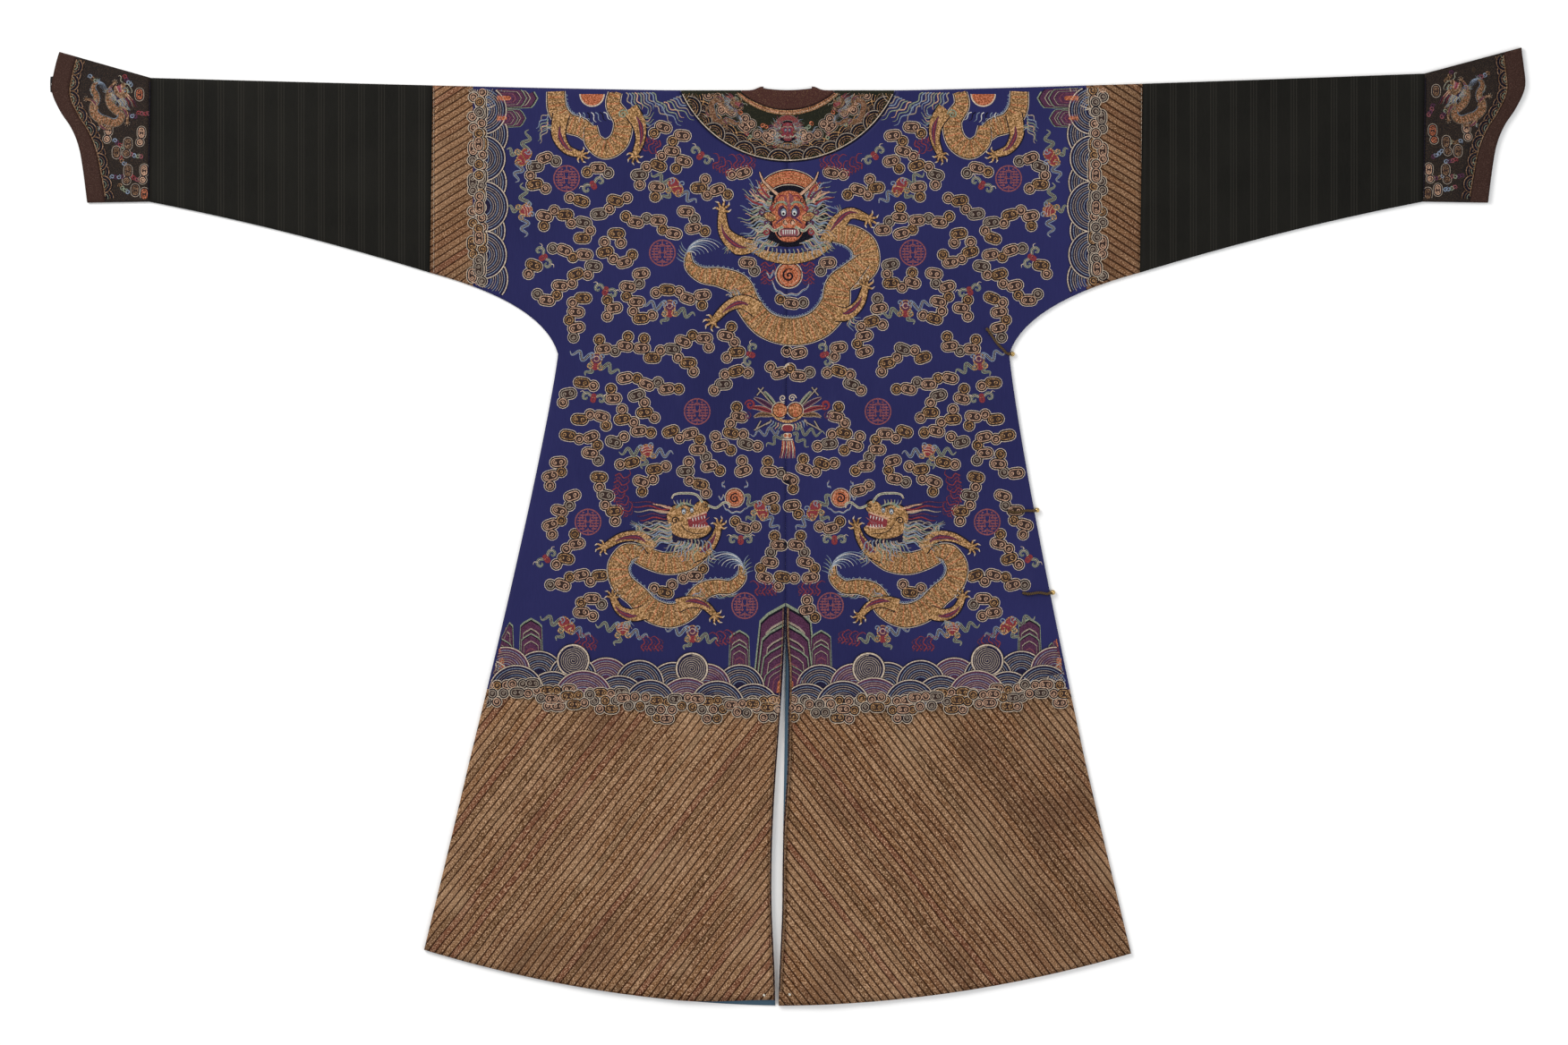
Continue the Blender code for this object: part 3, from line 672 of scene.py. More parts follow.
def body_silk(name):
    """Blue silk with slanting gold bands at the hem and towards the sleeves."""
    f = Finish(name, 0.48, specular=0.08)
    cloudy = f.noise(3.2, 4.0)
    warp = f.noise(900.0, 1.0, (1.0, 0.08, 1.0))
    blue = f.ramp(cloudy, (0.30, (0.0095, 0.0098, 0.0500)), (0.72, (0.0155, 0.0158, 0.0770)))
    blue = f.blend(f.times(warp, 0.30), blue, (0.028, 0.029, 0.115))
    worn = f.between(f.noise(16.0, 5.0, (1.0, 0.35, 1.0)), 0.60, 0.80)
    blue = f.blend(f.times(worn, 0.25), blue, (0.034, 0.034, 0.110))
    reach = f.math("ABSOLUTE", f.plus(f.x, STRIPE_CENTRE))
    depth = f.times(f.y, -1.0)
    skirt = f.plus(f.times(reach, math.sin(SKIRT_STRIPE_ANGLE)),
                   f.times(f.y, math.cos(SKIRT_STRIPE_ANGLE)))
    sleeve = f.plus(f.times(reach, math.sin(SLEEVE_STRIPE_ANGLE)),
                    f.times(f.y, math.cos(SLEEVE_STRIPE_ANGLE)))
    arch = f.times(f.times(reach, reach), SKIRT_BAND_ARCH)
    in_skirt = f.math("GREATER_THAN", f.plus(depth, arch), SKIRT_BAND_DEPTH)
    in_sleeve = f.math("GREATER_THAN", reach, SLEEVE_BAND_X)
    low = f.math("GREATER_THAN", depth, WAIST_DEPTH)
    in_sleeve = f.times(in_sleeve, f.minus(1.0, low))
    across = f.plus(f.times(skirt, low),
                    f.times(sleeve, f.minus(1.0, low)))
    gold, gap = stripes(f, across)
    # Painted highlight and shade: bright and dark flecks in the gold bands stand in for glints and dark
    # reflections of the metal thread; the same flecks also roughen the relief.
    glint_speckle = f.noise(520.0, 2.0, (1.0, 1.0, 1.0), 0.0, 0.8)
    gold = f.blend(f.between(glint_speckle, 0.54, 0.63), gold, (0.58, 0.37, 0.23))
    gold = f.blend(f.between(glint_speckle, 0.47, 0.37), gold, (0.055, 0.018, 0.005))
    # Painted light and shade: broad lighter and darker patches in the gold bands, in place of the metal
    # thread catching the light unevenly over the folds.
    painted_light_patches = f.noise(9.0, 3.0)
    gold = f.blend(f.times(f.between(painted_light_patches, 0.50, 0.74), 0.35), gold, (0.42, 0.27, 0.16))
    gold = f.blend(f.times(f.between(painted_light_patches, 0.48, 0.30), 0.35), gold, (0.10, 0.05, 0.03))
    deep = f.times(f.math("MAXIMUM", in_sleeve, f.times(f.between(f.x, 0.05, 0.40), 0.6)), 0.34)
    gold = f.blend(deep, gold, (0.075, 0.030, 0.016))
    line = f.blend(f.times(gap, 0.95), gold, (0.024, 0.008, 0.003))
    zone = f.math("MAXIMUM", in_skirt, in_sleeve)
    colour = f.blend(zone, blue, line)
    relief = f.times(f.minus(1.0, gap), 0.8)
    relief = f.plus(relief, f.times(glint_speckle, 0.35))
    height = f.plus(f.times(zone, relief),
                    f.times(f.minus(1.0, zone), f.times(warp, 0.25)))
    shine = f.plus(f.times(cloudy, 0.14), 0.40)
    f.join(f.shader.inputs["Metallic"], f.times(zone, 0.45))
    return f.finish(colour, height, 0.0006, 0.8, f.plus(shine, f.times(zone, 0.02)))


def sleeve_silk(name):
    """Black-brown silk with upright groups of three fine lines."""
    f = Finish(name, 0.55, specular=0.05)
    fine = f.noise(700.0, 1.0, (1.0, 0.10, 1.0))
    cloudy = f.noise(9.0, 4.0)
    place = f.math("FRACT", f.math("DIVIDE", f.math("ABSOLUTE", f.x), 0.030))
    group = f.math("LESS_THAN", place, 0.40)
    rib = f.math("PINGPONG", f.times(place, 7.5), 0.5)
    rib = f.times(group, f.between(rib, 0.18, 0.42))
    colour = f.ramp(cloudy, (0.30, (0.0050, 0.0048, 0.0040)), (0.75, (0.0095, 0.0090, 0.0074)))
    colour = f.blend(f.times(fine, 0.4), colour, (0.014, 0.013, 0.011))
    colour = f.blend(f.times(rib, 0.55), colour, (0.024, 0.022, 0.018))
    height = f.plus(rib, f.times(fine, 0.3))
    return f.finish(colour, height, 0.0004, 0.8, f.plus(f.times(cloudy, 0.2), 0.45))


def figured(name, dark, light, accent, scale=110.0):
    """A figured silk: small scrolls a little lighter than the ground."""
    f = Finish(name, 0.55, specular=0.06)
    rings = f.node("ShaderNodeTexVoronoi", {"feature": "DISTANCE_TO_EDGE"}, Vector=f.where, Scale=scale)
    scroll = f.between(f.math("PINGPONG", f.times(rings.outputs[0], 5.0), 0.5), 0.22, 0.40)
    fine = f.noise(800.0, 2.0, (1.0, 1.0, 1.0), 0.0, 0.7)
    cloudy = f.noise(14.0, 4.0)
    colour = f.blend(f.times(scroll, 0.75), dark, light)
    colour = f.blend(f.between(fine, 0.56, 0.68), colour, accent)
    colour = f.blend(f.times(f.between(cloudy, 0.45, 0.75), 0.35), colour, dark)
    height = f.plus(f.times(scroll, 0.6), f.times(fine, 0.5))
    return f.finish(colour, height, 0.0004, 0.7)


def plain_silk(name, dark, light):
    """A plain silk with a fine warp."""
    f = Finish(name, 0.50, specular=0.06)
    cloudy = f.noise(8.0, 4.0)
    warp = f.noise(900.0, 1.0, (1.0, 0.1, 1.0))
    colour = f.ramp(cloudy, (0.3, dark), (0.75, light))
    return f.finish(f.blend(f.times(warp, 0.3), colour, light), warp, 0.0002, 0.5)


def thread_finish(name, colour, spark):
    """Laid thread: short stitches, each a little lighter or darker; spark adds painted glints and painted
    dark spots of shade to the metal threads.
    """
    f = Finish(name, THREAD_ROUGHNESS, THREAD_METALLIC if spark else 0.0, 0.06)
    stitch = f.noise(620.0, 2.0, (1.0, 1.0, 1.0), 0.4, 0.75)
    cloudy = f.noise(22.0, 3.0)
    darker = tuple(value * 0.55 for value in colour)
    lighter = tuple(min(value * 1.45 + 0.01, 1.0) for value in colour)
    tone = f.ramp(stitch, (0.36, darker), (0.50, colour), (0.66, lighter))
    tone = f.blend(f.times(f.between(cloudy, 0.5, 0.8), 0.30), tone, darker)
    if spark:
        # Painted highlight and shade: glint noise lightens some spots and darkens others, in place of
        # reflections off the metal thread.
        glint = f.noise(500.0, 2.0, (1.0, 1.0, 1.0), 0.9)
        bright = tuple(value * 2.1 + 0.08 for value in colour)
        tone = f.blend(f.times(f.between(glint, 0.51, 0.60), spark), tone, bright)
        tone = f.blend(f.times(f.between(glint, 0.46, 0.37), spark), tone,
                       tuple(value * 0.28 for value in colour))
    return f.finish(tone, stitch, 0.0005, 0.8)


def metal_finish(name, colour):
    """Metal with darker, rougher patches."""
    f = Finish(name, 0.3, 1.0)
    worn = f.noise(420.0, 4.0)
    tone = f.ramp(worn, (0.35, tuple(value * 0.45 for value in colour)), (0.65, colour))
    return f.finish(tone, worn, 0.0001, 0.5, f.plus(f.times(worn, 0.3), 0.2))


# The colour of each thread, and how strong the painted glints and painted dark spots of each of the metal
# ones are

THREADS = {
    "cream": (0.405, 0.330, 0.255),
    "white": (0.430, 0.420, 0.400),
    "dull": (0.235, 0.190, 0.150),
    "peach": (0.370, 0.222, 0.148),
    "gold": (0.228, 0.120, 0.044),
    "orange": (0.270, 0.074, 0.030),
    "bronze": (0.115, 0.060, 0.028),
    "red": (0.160, 0.024, 0.030),
    "rose": (0.165, 0.050, 0.060),
    "plum": (0.060, 0.018, 0.045),
    "sky": (0.150, 0.185, 0.245),
    "sage": (0.165, 0.190, 0.135),
    "umber": (0.026, 0.014, 0.012),
    "indigo": (0.0085, 0.0065, 0.026),
    "night": (0.0030, 0.0022, 0.0070),
}
METAL_THREADS = {"gold": 0.80, "orange": 0.60, "bronze": 0.6, "peach": 0.30}
THREAD_METALLIC = 0.25
THREAD_ROUGHNESS = 0.45

FINISH = {
    "lining": plain_silk("lining silk", (0.045, 0.085, 0.130), (0.070, 0.120, 0.165)),
    "body": body_silk("blue silk"),
    "sleeve": sleeve_silk("black silk"),
    "cuff": figured("cuff silk", (0.010, 0.008, 0.008), (0.030, 0.018, 0.012), (0.060, 0.040, 0.026)),
    "edge": figured("burgundy brocade", (0.027, 0.012, 0.009), (0.052, 0.025, 0.019),
                    (0.084, 0.048, 0.038), 170.0),
    "collar": figured("collar silk", (0.0085, 0.0095, 0.0060), (0.018, 0.018, 0.010),
                      (0.034, 0.028, 0.014)),
    "band": figured("neck brocade", (0.038, 0.012, 0.012), (0.076, 0.032, 0.022),
                    (0.135, 0.080, 0.042), 190.0),
    "cord": plain_silk("olive cord", (0.045, 0.026, 0.012), (0.110, 0.072, 0.036)),
    "brass": metal_finish("brass", (0.72, 0.50, 0.20)),
    "pewter": metal_finish("pewter", (0.80, 0.76, 0.66)),
    "tape": plain_silk("black tape", (0.008, 0.008, 0.009), (0.020, 0.020, 0.022)),
}
for thread, thread_colour in THREADS.items():
    FINISH[thread] = thread_finish(thread + " thread", thread_colour, METAL_THREADS.get(thread, 0.0))

# The cloth pieces, with the size that each was cut to

body_left = body_half("body_left", -1, FINISH["body"])
body_right = body_half("body_right", 1, FINISH["body"])
overlap = overlap_panel("front_overlap", FINISH["body"])
for side, word in ((-1, "left"), (1, "right")):
    parts = spaced(0.0, 1.0, SLEEVE_ROWS)
    swells = [0.0009 * math.sin(math.pi * part) ** 2 * (1 + 0.6 * math.sin(part * 23 + side))
              for part in parts]
    sections = [sleeve_section(side, part) for part in parts]
    sleeve = tube("sleeve_" + word, sections, SLEEVE_COLUMNS, FINISH["sleeve"], swells)
    sections = [cuff_section(side, part, CUFF_EDGE_WIDTH + SEAM_GAP) for part in spaced(0, 1, CUFF_ROWS)]
    cuff = tube("cuff_" + word, sections, CUFF_COLUMNS, FINISH["cuff"])
    sections = [edge_section(side, part) for part in spaced(0, 1, EDGE_ROWS)]
    edging = tube("cuff_edge_" + word, sections, CUFF_COLUMNS, FINISH["edge"])
collar = round_edge("collar", COLLAR_OUTER, COLLAR_INNER, 14, 90, FINISH["collar"])
neck_band = round_edge("neck_band", BAND_LOWER, BAND_UPPER, 8, 80, FINISH["band"],
                       BAND_BUMP)

# Embroidery: strokes and patches in a motif's own millimetres, gathered by colour and laid on the cloth

LIFT = 0.00016
LAYER_STEP = 0.00006
THREAD_CROWN = 0.00013
BROAD = 0.0015
MILLIMETRE = 0.001
TAKEN_CELL = 0.004
TAKEN = np.zeros((600, 400), bool)
TAKEN_CORNER = np.array((-1.2, -1.45))


def cells(points):
    """The cells of the TAKEN grid that points are in."""
    return np.floor((points - TAKEN_CORNER) / TAKEN_CELL).astype(int)


def take(points, radius):
    """Marks the cloth near points as used."""
    steps = np.arange(-int(radius / TAKEN_CELL), int(radius / TAKEN_CELL) + 1)
    for dx in steps:
        for dy in steps:
            if math.hypot(dx, dy) * TAKEN_CELL <= radius:
                column, row = (cells(points) + (dx, dy)).T
                TAKEN[np.clip(column, 0, 599), np.clip(row, 0, 399)] = True


def is_taken(x, y):
    """Whether something is already sewn at a place."""
    column, row = cells(np.array((x, y)))
    return TAKEN[column, row]


class Work:
    """Everything sewn in one colour on one ground."""

    def __init__(self):
        self.points = []
        self.quads = []
        self.triangles = []
        self.count = 0

    def add(self, flat, lift, quads, triangles=None):
        self.points.append(np.column_stack([flat, lift]))
        if quads is not None:
            self.quads.append(quads + self.count)
        if triangles is not None:
            self.triangles.append(triangles + self.count)
        self.count += len(flat)


WORK = {}


class Needle:
    """Sews a motif in its own millimetres: x to the right and y towards the neck."""

    def __init__(self, x, y, turn=0.0, size=1.0, flip=1, ground="body", margin=0.0, instead=None):
        self.place = np.array((x, y))
        self.instead = instead or {}
        self.size = size
        self.flip = flip
        self.ground = ground
        self.margin = margin
        cosine, sine = math.cos(math.radians(turn)), math.sin(math.radians(turn))
        self.spin = np.array(((cosine, sine), (-sine, cosine)))

    def at(self, points):
        points = np.array(points, float) * (self.size * MILLIMETRE)
        points[:, 0] *= self.flip
        return points @ self.spin + self.place

    def work(self, colour):
        colour = self.instead.get(colour, colour)
        return WORK.setdefault((self.ground, colour), Work())

    def line(self, points, width, colour, layer=1):
        """A raised stroke; width may be a list, spread evenly along it."""
        path = self.at(points)
        along = np.gradient(path, axis=0)
        along /= np.hypot(*along.T)[:, None] + 1e-12
        widths = np.atleast_1d(np.asarray(width, float))
        widths = np.interp(np.linspace(0, 1, len(path)), np.linspace(0, 1, len(widths)), widths)
        half = widths * (self.size * MILLIMETRE / 2)
        beside = np.stack([-along[:, 1], along[:, 0]], 1) * half[:, None]
        low = LIFT + LAYER_STEP * layer
        flat = np.concatenate([path + beside, path, path - beside])
        count = len(path)
        edge = np.full(count, low)
        crown = np.where(half < BROAD, np.minimum(half * 0.4, THREAD_CROWN), LAYER_STEP * 0.8)
        lift = np.concatenate([edge, low + crown, edge])
        first = np.arange(count - 1)
        quads = np.concatenate([
            np.stack([first + skip, first + skip + count, first + skip + count + 1, first + skip + 1], 1)
            for skip in (0, count)])
        self.work(colour).add(flat, lift, quads)
        if self.margin:
            take(path[::3], self.margin + float(half.max()))

    def patch(self, outline, colour, layer=0):
        """A filled shape, fanned from its middle."""
        rim = self.at(outline)
        flat = np.concatenate([rim, rim.mean(axis=0)[None]])
        low = LIFT + LAYER_STEP * layer
        lift = np.full(len(flat), low)
        lift[-1] += LAYER_STEP * 0.6
        first = np.arange(len(rim))
        triangles = np.stack([first, np.roll(first, -1), np.full(len(rim), len(rim))], 1)
        self.work(colour).add(flat, lift, None, triangles)
        if self.margin:
            reach = np.hypot(*(rim - flat[-1]).T).mean()
            take(flat[-1:], reach + self.margin)

    def outlined(self, points, width, fill, edge="night", rim=1.2, layer=1):
        """A stroke with an edge of another colour showing on both sides."""
        widths = np.atleast_1d(np.asarray(width, float))
        self.line(points, widths + 2 * rim, edge, layer)
        self.line(points, widths, fill, layer + 1)


def flow(points, fine=6):
    """A smooth curve through a motif's points."""
    return spline(points, np.linspace(0, len(points) - 1, (len(points) - 1) * fine + 1))


def arc(x, y, radius, start, end, count=12, squash=1.0):
    """Points on a circle, from one angle to another in degrees."""
    angle = np.radians(np.linspace(start, end, count))
    return np.stack([x + radius * np.cos(angle), y + radius * squash * np.sin(angle)], 1)


def coil(x, y, radius, turns, start=0.0, inner=0.12, hand=1, count=None):
    """A spiral from its outer end in."""
    count = count or int(13 * turns)
    part = np.linspace(0, 1, count)
    angle = math.radians(start) + hand * part * turns * math.tau
    reach = radius * (1 - (1 - inner) * part)
    return np.stack([x + reach * np.cos(angle), y + reach * np.sin(angle)], 1)


def capsule(x, y, half, radius, turn=0.0, count=9):
    """Outline of a pill shape."""
    right = arc(half, 0, radius, -90, 90, count)
    left = arc(-half, 0, radius, 90, 270, count)
    points = np.concatenate([right, left])
    cosine, sine = math.cos(math.radians(turn)), math.sin(math.radians(turn))
    return points @ np.array(((cosine, sine), (-sine, cosine))) + (x, y)


# Clouds

CLOUD_FILLS = ("peach", "peach", "gold", "peach", "dull", "peach", "gold")
CURL_RADIUS = 7.0
LOBE_STEP = 0.0158
LONG_TRIES = 2600
LEFT_TRIES = 900


def cloud(needle, units, fills, layer=0, rim="cream", radius=CURL_RADIUS):
    """Joined curls: a pale line round all of them, a dark line inside it and a filled spiral in each.

    A unit is (x, y, half its length, turn, hand); half a length of 0 is a single curl.
    """
    for before, after in zip(units, units[1:]):
        neck = [before[:2], after[:2]]
        for colour, width, step in ((rim, 1.50, 0), ("night", 1.15, 1), ("umber", 0.70, 2)):
            needle.line(neck, width * radius, colour, layer + step)
    for number, (x, y, half, turn, hand) in enumerate(units):
        fill = fills[number % len(fills)]
        for colour, extra, step in ((rim, 2.3, 0), ("night", 1.25, 1), ("umber", -0.7, 2)):
            needle.patch(capsule(x, y, half, radius + extra, turn, 7), colour, layer + step)
        ring = capsule(x, y, half, radius - 1.2, turn, 6)
        needle.line(np.concatenate([ring, ring[:1]]), 1.25, fill, layer + 3)
        cosine, sine = math.cos(math.radians(turn)), math.sin(math.radians(turn))
        for end in ((-1, 1) if half else (1,)):
            middle = (x + end * half * cosine, y + end * half * sine)
            start = turn + (90 if half else 200) * hand * end
            needle.line(coil(*middle, radius * (0.52 if half else 0.43), 1.2, start, 0.06, end * hand, 12),
                        [1.1, 1.2, 1.6], fill, layer + 3)


def in_field(x, y):
    """Where clouds are scattered: the plain upper ground of the body."""
    depth = -y
    floor_line = 0.800 - 0.12 * x * x
    return room(x, y) > 0.017 and abs(x) < 0.405 and 0.014 < depth < floor_line


def grown_chain(rng, x, y):
    """Units of a chain of cloud that winds through free cloth, in metres from its first one."""
    heading = rng.uniform(0, 360)
    places = []
    bend = rng.choice((-1, 1))
    for _ in range(rng.integers(4, 9)):
        if not in_field(x, y) or is_taken(x, y):
            break
        places.append((x, y))
        heading += bend * rng.uniform(25, 80)
        bend = -bend if rng.random() < 0.72 else bend
        x += LOBE_STEP * math.cos(math.radians(heading)) * 1.12
        y += LOBE_STEP * math.sin(math.radians(heading)) * 0.92
    return places


def sew_chain(rng, places, fills):
    """Sews one chain of cloud and marks its place as used."""
    x, y = places[0]
    units = []
    for number, (px, py) in enumerate(places):
        half = 4.8 if (number + len(places)) % 2 == 0 else 0.0
        turn = rng.uniform(-22, 22)
        units.append(((px - x) / MILLIMETRE, (py - y) / MILLIMETRE, half, turn, int(rng.choice((-1, 1)))))
    cloud(Needle(x, y), units, fills)
    take(np.array(places), 0.0220)


def scatter_clouds():
    """Fills the free ground with chains of cloud, long ones first, most of them in mirrored pairs."""
    rng = np.random.default_rng(17)
    shortest = {0: 5, 1: 4, 2: 3, 3: 2}
    for turn in range(4):
        for _ in range(LONG_TRIES):
            x, y = rng.uniform(0.0, 0.42), -rng.uniform(0.012, 0.80)
            places = grown_chain(rng, x, y)
            fills = np.roll(CLOUD_FILLS, rng.integers(len(CLOUD_FILLS)))
            if len(places) < shortest[turn]:
                continue
            mirrored = [(-px, py) for px, py in places]
            free = all(in_field(*place) and not is_taken(*place) for place in mirrored)
            sew_chain(rng, places, fills)
            if free and abs(places[0][0]) > 0.02 and min(px for px, py in places) > 0.011:
                sew_chain(rng, mirrored, fills)
        for _ in range(LEFT_TRIES):
            x, y = -rng.uniform(0.0, 0.42), -rng.uniform(0.012, 0.80)
            places = grown_chain(rng, x, y)
            fills = np.roll(CLOUD_FILLS, rng.integers(len(CLOUD_FILLS)))
            if len(places) >= shortest[turn]:
                sew_chain(rng, places, fills)


# Small figures

MEDALLION_RADIUS = 19.0


def medallion(x, y):
    """A round lattice of bars inside a ring."""
    radius = MEDALLION_RADIUS
    needle = Needle(x, y)
    take(np.array([(x, y)]), radius * MILLIMETRE + 0.008)
    needle.line(arc(0, 0, radius, 0, 360, 37), 2.1, "rose", 1)
    for row, level in enumerate((-14.0, -10.2, -6.2, -2.2, 2.2, 6.2, 10.2, 14.0)):
        reach = math.sqrt((radius - 2.6) ** 2 - level ** 2)
        gap = (1.6, 5.4)[row % 2]
        for hand in (-1, 1):
            needle.line([(hand * gap, level), (hand * reach, level)], 2.0, "rose", 1)
    for level, reach in ((0.0, 6.5), (12.2, 3.6), (-12.2, 3.6)):
        needle.line([(-reach, level), (reach, level)], 1.5, "rose", 1)
    for place, low, high in ((3.6, -8.2, 8.2), (8.0, -12.0, -4.2), (8.0, 4.2, 12.0), (12.2, -8.0, 8.0)):
        for hand in (-1, 1):
            needle.line([(hand * place, low), (hand * place, high)], 1.5, "rose", 1)
    needle.line([(0, -radius), (0, -9)], 1.5, "rose", 1)
    needle.line([(0, 9), (0, radius)], 1.5, "rose", 1)


def ribbon(needle, length, waves, fill="sage", start=(0, 0), turn=0.0, swing=5.0, layer=1):
    """A waving silk ribbon with a dark middle, that ends in a point."""
    part = np.linspace(0, 1, 10 * waves + 1)
    points = np.stack([length * part, swing * np.sin(part * waves * math.tau / 2) * (1.15 - 0.5 * part)], 1)
    cosine, sine = math.cos(math.radians(turn)), math.sin(math.radians(turn))
    points = points @ np.array(((cosine, sine), (-sine, cosine))) + start
    needle.line(points, [4.2, 4.2, 4.0, 3.0, 0.8], fill, layer)
    needle.line(points, [2.2, 2.2, 2.0, 1.4, 0.3], "indigo", layer + 1)
    needle.line(points, [0.9, 0.8, 0.7, 0.3], "dull", layer + 2)


def treasure(x, y, kind, turn=0.0, size=1.0, flip=1):
    """A precious thing tied with two waving ribbons."""
    needle = Needle(x, y, turn, size, flip, margin=0.006)
    ribbon(needle, 27, 4, ("sage", "sky")[kind % 2], (5, 1), 12, 4.6)
    ribbon(needle, 25, 4, ("sky", "sage")[kind % 2], (-5, -2), 196, 4.6)
    ribbon(needle, 16, 3, "sage", (2, -4), -64, 3.6)
    for hand in (-1, 1):
        needle.line(coil(hand * 6.5, -6.0, 4.6, 1.2, 90, 0.2, hand), 1.3, "gold", 3)
        needle.line(coil(hand * 6.5, 6.5, 4.0, 1.1, -90, 0.2, -hand), 1.2, "sky", 3)
    body = (("red", "plum"), ("plum", "red"), ("red", "bronze"))[kind % 3]
    if kind % 3 == 0:
        needle.patch(capsule(0, 1, 5.0, 6.6, 35), "gold", 2)
        needle.patch(capsule(0, 1, 4.6, 5.4, 35), body[0], 3)
        needle.line([(-6, 4), (6, -3)], 1.1, "gold", 4)
    elif kind % 3 == 1:
        needle.patch(arc(0, 3, 7.0, 0, 360, 19)[:-1], "gold", 2)
        needle.patch(arc(0, 3, 5.8, 0, 360, 17)[:-1], body[0], 3)
        needle.patch(arc(0, -6, 4.4, 0, 360, 15)[:-1], body[1], 3)
        needle.line(arc(0, 3, 3.0, 0, 330, 12), 1.0, "peach", 4)
    else:
        needle.patch([(-9, 6), (0, 9), (9, 6), (6, -4), (0, -7), (-6, -4)], "gold", 2)
        needle.patch([(-7.4, 5), (0, 7.6), (7.4, 5), (5, -3.4), (0, -5.8), (-5, -3.4)], body[0], 3)
        for level in (-1.5, 1.5, 4.5):
            needle.line([(-5.5, level), (0, level + 1.4), (5.5, level)], 0.9, "peach", 4)


def bat(x, y, turn=0.0, size=1.0, flip=1):
    """A small red bat with curled wings."""
    needle = Needle(x, y, turn, size, flip, margin=0.006)
    for hand in (-1, 1):
        wing = flow([(0, 0), (hand * 5, 3.5), (hand * 10, 6.0), (hand * 15, 3.5), (hand * 15, -2),
                     (hand * 10.5, -3), (hand * 9.5, 0.5)], 4)
        needle.line(wing, [4.0, 4.6, 4.6, 3.6, 1.6], "sage", 1)
        needle.line(wing, [2.0, 2.6, 2.6, 1.6, 0.4], "indigo", 2)
        needle.line(wing[3:-4], [1.1, 1.1, 0.5], "cream", 3)
        needle.line(flow([(hand * 13, 4), (hand * 17, 8), (hand * 21, 6)], 4), [1.6, 0.5], "cream", 1)
    needle.patch(capsule(0, 0, 2.8, 4.4, 90), "red", 3)
    needle.line([(-3, 1), (3, 1)], 0.9, "orange", 4)
    needle.line([(0, -4), (0, 3)], 0.8, "plum", 5)


def flame(x, y, turn, size, flip):
    """Faint feathered flames: a few short curled strokes."""
    needle = Needle(x, y, turn, size, flip, margin=0.003)
    colours = ("plum", "red")
    for number in range(6):
        bend = -12 + 5 * number
        strand = flow([(bend, 0), (bend + 4, 6), (bend - 1, 12), (bend + 5, 17 + 3 * (number % 2)),
                       (bend + 11, 18)], 4)
        needle.line(strand, [1.8, 1.5, 0.5], colours[number % len(colours)], 1)
        needle.line(coil(bend + 2, 5, 3.2, 0.9, 40 * number, 0.4), 1.0,
                    colours[(number + 1) % len(colours)], 1)


def pearl(x, y, radius=18.0, turn=0.0, flip=1):
    """A flaming pearl: an orange disc with a spiral, ringed in white and dark, with wisps round it."""
    needle = Needle(x, y, turn, radius / 18.0, flip, margin=0.005)
    for wisp in (((-26, -10), (-16, -26), (0, -31), (18, -27), (30, -16)),
                 ((-34, 2), (-27, -4), (-24, 4), (-19, -2)),
                 ((20, 20), (27, 26), (24, 34)), ((-20, 20), (-26, 27), (-21, 33))):
        strand = flow(wisp, 5)
        strand = strand + np.stack([0 * strand[:, 0], 1.6 * np.sin(np.arange(len(strand)) * 1.3)], 1)
        needle.line(strand, [1.4, 2.2, 0.8], "sky", 1)
        needle.line(strand + (0, 2.0), [0.6, 1.0, 0.4], "cream", 1)
    for reach, colour, layer in ((20.6, "cream", 2), (19.0, "night", 3), (17.6, "orange", 4)):
        needle.patch(arc(0, 0, reach, 0, 360, 33)[:-1], colour, layer)
    needle.line(arc(0, 0, 14.8, 0, 360, 33), 1.1, "peach", 5)
    needle.line(coil(0, -1, 10.5, 1.5, 60, 0.1), 2.6, "night", 5)


# Dragons

def lock(needle, start, turn, length, colour, waves=1.5, swing=2.6, width=1.7, layer=3):
    """One waving strand of hair."""
    part = np.linspace(0, 1, 4 + int(7 * waves))
    angle = np.radians(np.full(len(part), float(turn)))
    step = length / len(part)
    path = np.stack([np.cumsum(np.cos(angle)), np.cumsum(np.sin(angle))], 1) * step
    side = np.stack([-np.sin(angle), np.cos(angle)], 1)
    path = path + side * (swing * np.sin(part * waves * math.tau))[:, None] + start
    needle.line(path, [width, width, width * 0.35], colour, layer)


HAIR = ("dull", "sky", "sage", "peach", "sage", "dull", "sky")


def mane(needle, ends, count, length, layer=3, waves=1.5, width=1.7, colours=HAIR):
    """Locks between two starting strands, each given as (x, y, turn)."""
    for number in range(count):
        part = number / max(count - 1, 1)
        x, y, turn = mix(ends[0], ends[1], part)
        lock(needle, (x, y), turn, length * (0.82 + 0.3 * ((number * 5) % 7) / 6),
             colours[number % len(colours)], waves, 2.4, width, layer)


